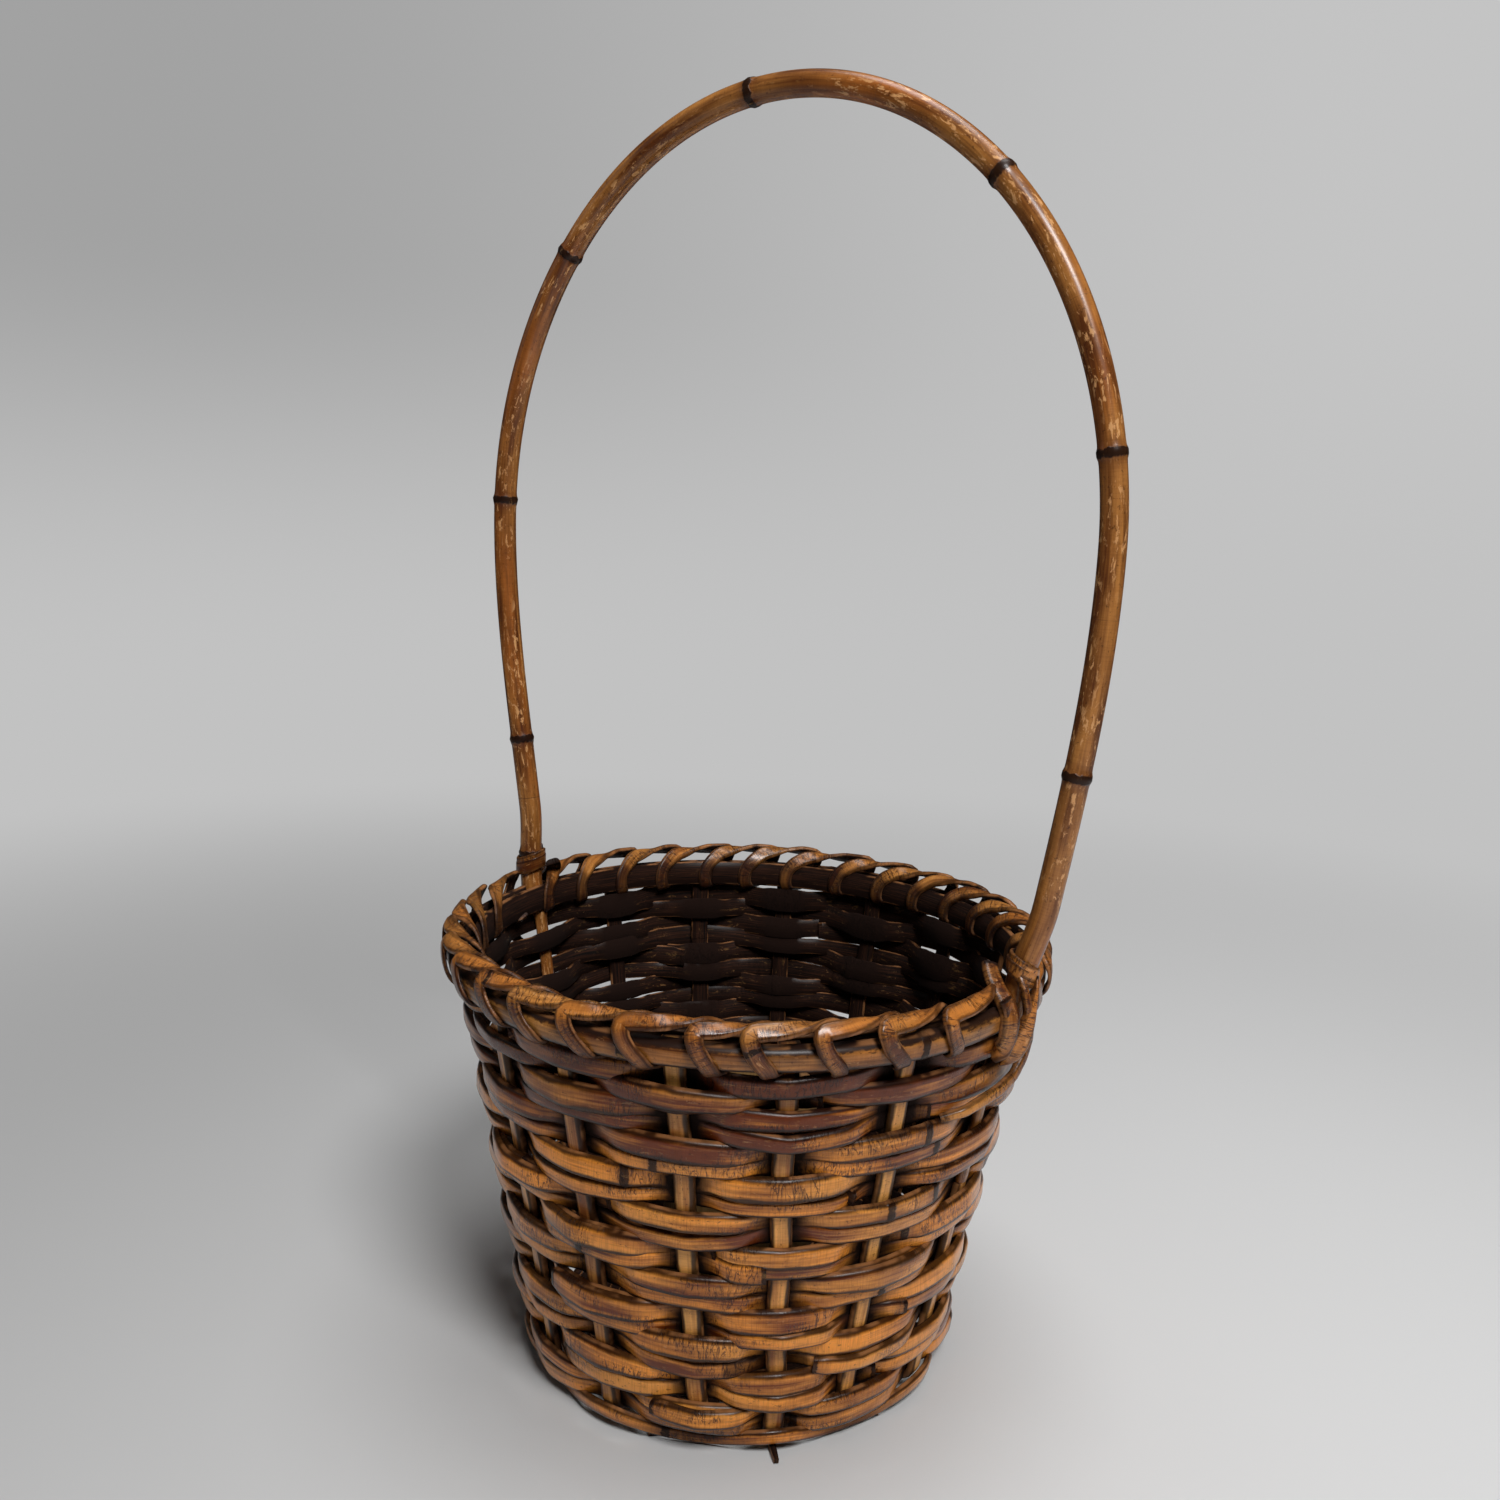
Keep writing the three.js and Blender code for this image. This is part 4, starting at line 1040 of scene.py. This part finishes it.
# Studio. A plain pale floor that curves up into a pale wall, a large soft lamp in front and
# above, a weaker one from the side, and the camera where the photograph was taken from.
floor_radius, wall_height, floor_curve, floor_gap = 3, 4, 1.2, 0.0003
light_heading = (0.845, 0.535, 0)
bpy.ops.object.select_all(action="DESELECT")
bpy.ops.mesh.primitive_cylinder_add(vertices=96, radius=floor_radius, depth=wall_height,
                                    location=(0, 0, wall_height / 2 - floor_gap))
bpy.ops.object.transform_apply(location=True, rotation=False, scale=False)
floor = bpy.context.object
floor.name = "floor"
bpy.ops.object.mode_set(mode="EDIT")
select_faces(lambda middle, normal: normal.z > 0.9)
bpy.ops.mesh.delete(type="FACE")
bpy.ops.mesh.select_mode(type="EDGE")
select_edges(lambda a, b: max(a.z, b.z) < 0.01)
bpy.ops.mesh.bevel(offset=floor_curve, segments=16, affect="EDGES")
bpy.ops.mesh.select_all(action="SELECT")
bpy.ops.mesh.flip_normals()
bpy.ops.object.mode_set(mode="OBJECT")
bpy.ops.object.shade_smooth_by_angle(angle=math.radians(60))


def grey(level):
    return colour(level, level, level)


floor_finish = bpy.data.materials.new("pale floor")
floor_finish.use_nodes = True
tree = floor_finish.node_tree
floor_shader = tree.nodes["Principled BSDF"]
on_floor = node(tree, "TexCoord").outputs["Object"]
distance = node(tree, "VectorMath", {0: on_floor}, operation="LENGTH").outputs["Value"]
to_right = node(tree, "VectorMath", {0: on_floor, 1: light_heading},
                operation="DOT_PRODUCT").outputs["Value"]
# The near floor is painted lighter to the right, towards the front lamp, as painted light
near_tone = blend(tree, between(tree, to_right, -0.5, 0.4), grey(188), grey(226))
floor_tone = blend(tree, between(tree, distance, 1.8, 2.4), near_tone, grey(110))
tree.links.new(floor_tone, floor_shader.inputs["Base Color"])
floor_shader.inputs["Roughness"].default_value = 0.85
# The camera sees the far wall in even tones, a little lighter to the right, and the polish of
# the cane does not mirror it
wall_tone = blend(tree, between(tree, to_right, -1.5, 1.5), grey(162), grey(196))
wall_level = node(tree, "SeparateXYZ", {0: on_floor}).outputs["Z"]
wall_tone = blend(tree, between(tree, wall_level, 0.0, 0.9), grey(194), wall_tone)
wall_light = node(tree, "Emission", {"Color": wall_tone, "Strength": 1.0})
dark_wall = node(tree, "Emission", {"Color": grey(40), "Strength": 1.0})
ray = node(tree, "LightPath").outputs
wall_seen = times(tree, between(tree, distance, 0.3, 1.2), ray["Is Camera Ray"])
wall_lost = times(tree, between(tree, distance, 0.5, 1.5), ray["Is Glossy Ray"])
mirrored = node(tree, "MixShader", {0: wall_lost, 1: floor_shader.outputs[0],
                                    2: dark_wall.outputs[0]})
seen_wall = node(tree, "MixShader", {0: wall_seen, 1: mirrored.outputs[0],
                                     2: wall_light.outputs[0]})
tree.links.new(seen_wall.outputs[0], tree.nodes["Material Output"].inputs["Surface"])
floor.data.materials.append(floor_finish)

world = bpy.data.worlds.new("studio")
bpy.context.scene.world = world
world.use_nodes = True
tree = world.node_tree
room = tree.nodes["Background"]
room.inputs["Color"].default_value = (0.62, 0.62, 0.62, 1)
room.inputs["Strength"].default_value = 0.05
backdrop = node(tree, "Background", {"Color": grey(196), "Strength": 1.0})
ray = node(tree, "LightPath").outputs
straight_view = maths(tree, "MAXIMUM", ray["Is Camera Ray"], ray["Is Transmission Ray"])
mixed = node(tree, "MixShader", {0: straight_view, 1: room.outputs[0], 2: backdrop.outputs[0]})
tree.links.new(mixed.outputs[0], tree.nodes["World Output"].inputs["Surface"])

lamp_target = Vector((0, 0, 0.2))
for name, lamp_place, size, power in (
    ("front_lamp", (0.98, -0.76, 1.60), 0.6, 27),
    ("side_lamp", (-1.3, -0.7, 0.9), 0.9, 0.6),
    ("top_lamp", (0.1, 0.1, 1.9), 1.0, 13),
):
    lamp_data = bpy.data.lights.new(name, "AREA")
    lamp_data.shape, lamp_data.size, lamp_data.energy = "DISK", size, power
    lamp = bpy.data.objects.new(name, lamp_data)
    lamp.visible_camera = False
    lamp.location = lamp_place
    lamp.rotation_euler = (lamp_target - Vector(lamp_place)).to_track_quat("-Z", "Y").to_euler()
    bpy.context.collection.objects.link(lamp)

camera_place = Vector((0.2921, -0.4638, 0.3496))
heading, pitch, roll = math.radians(32.37), math.radians(10.29), math.radians(2.0)
forward = Vector((-math.sin(heading) * math.cos(pitch), math.cos(heading) * math.cos(pitch),
                  -math.sin(pitch)))
level = Vector((math.cos(heading), math.sin(heading), 0))
upright = level.cross(forward)
right = math.cos(roll) * level + math.sin(roll) * upright
above = math.cos(roll) * upright - math.sin(roll) * level
camera_data = bpy.data.cameras.new("camera")
camera_data.lens, camera_data.sensor_width = 33.29, 36
camera_data.clip_start, camera_data.clip_end = 0.01, 50
camera = bpy.data.objects.new("camera", camera_data)
bpy.context.collection.objects.link(camera)
turned = Matrix((right, above, -forward)).transposed().to_4x4()
camera.matrix_world = Matrix.Translation(camera_place) @ turned
bpy.context.scene.camera = camera
bpy.context.scene.view_settings.view_transform = "Standard"
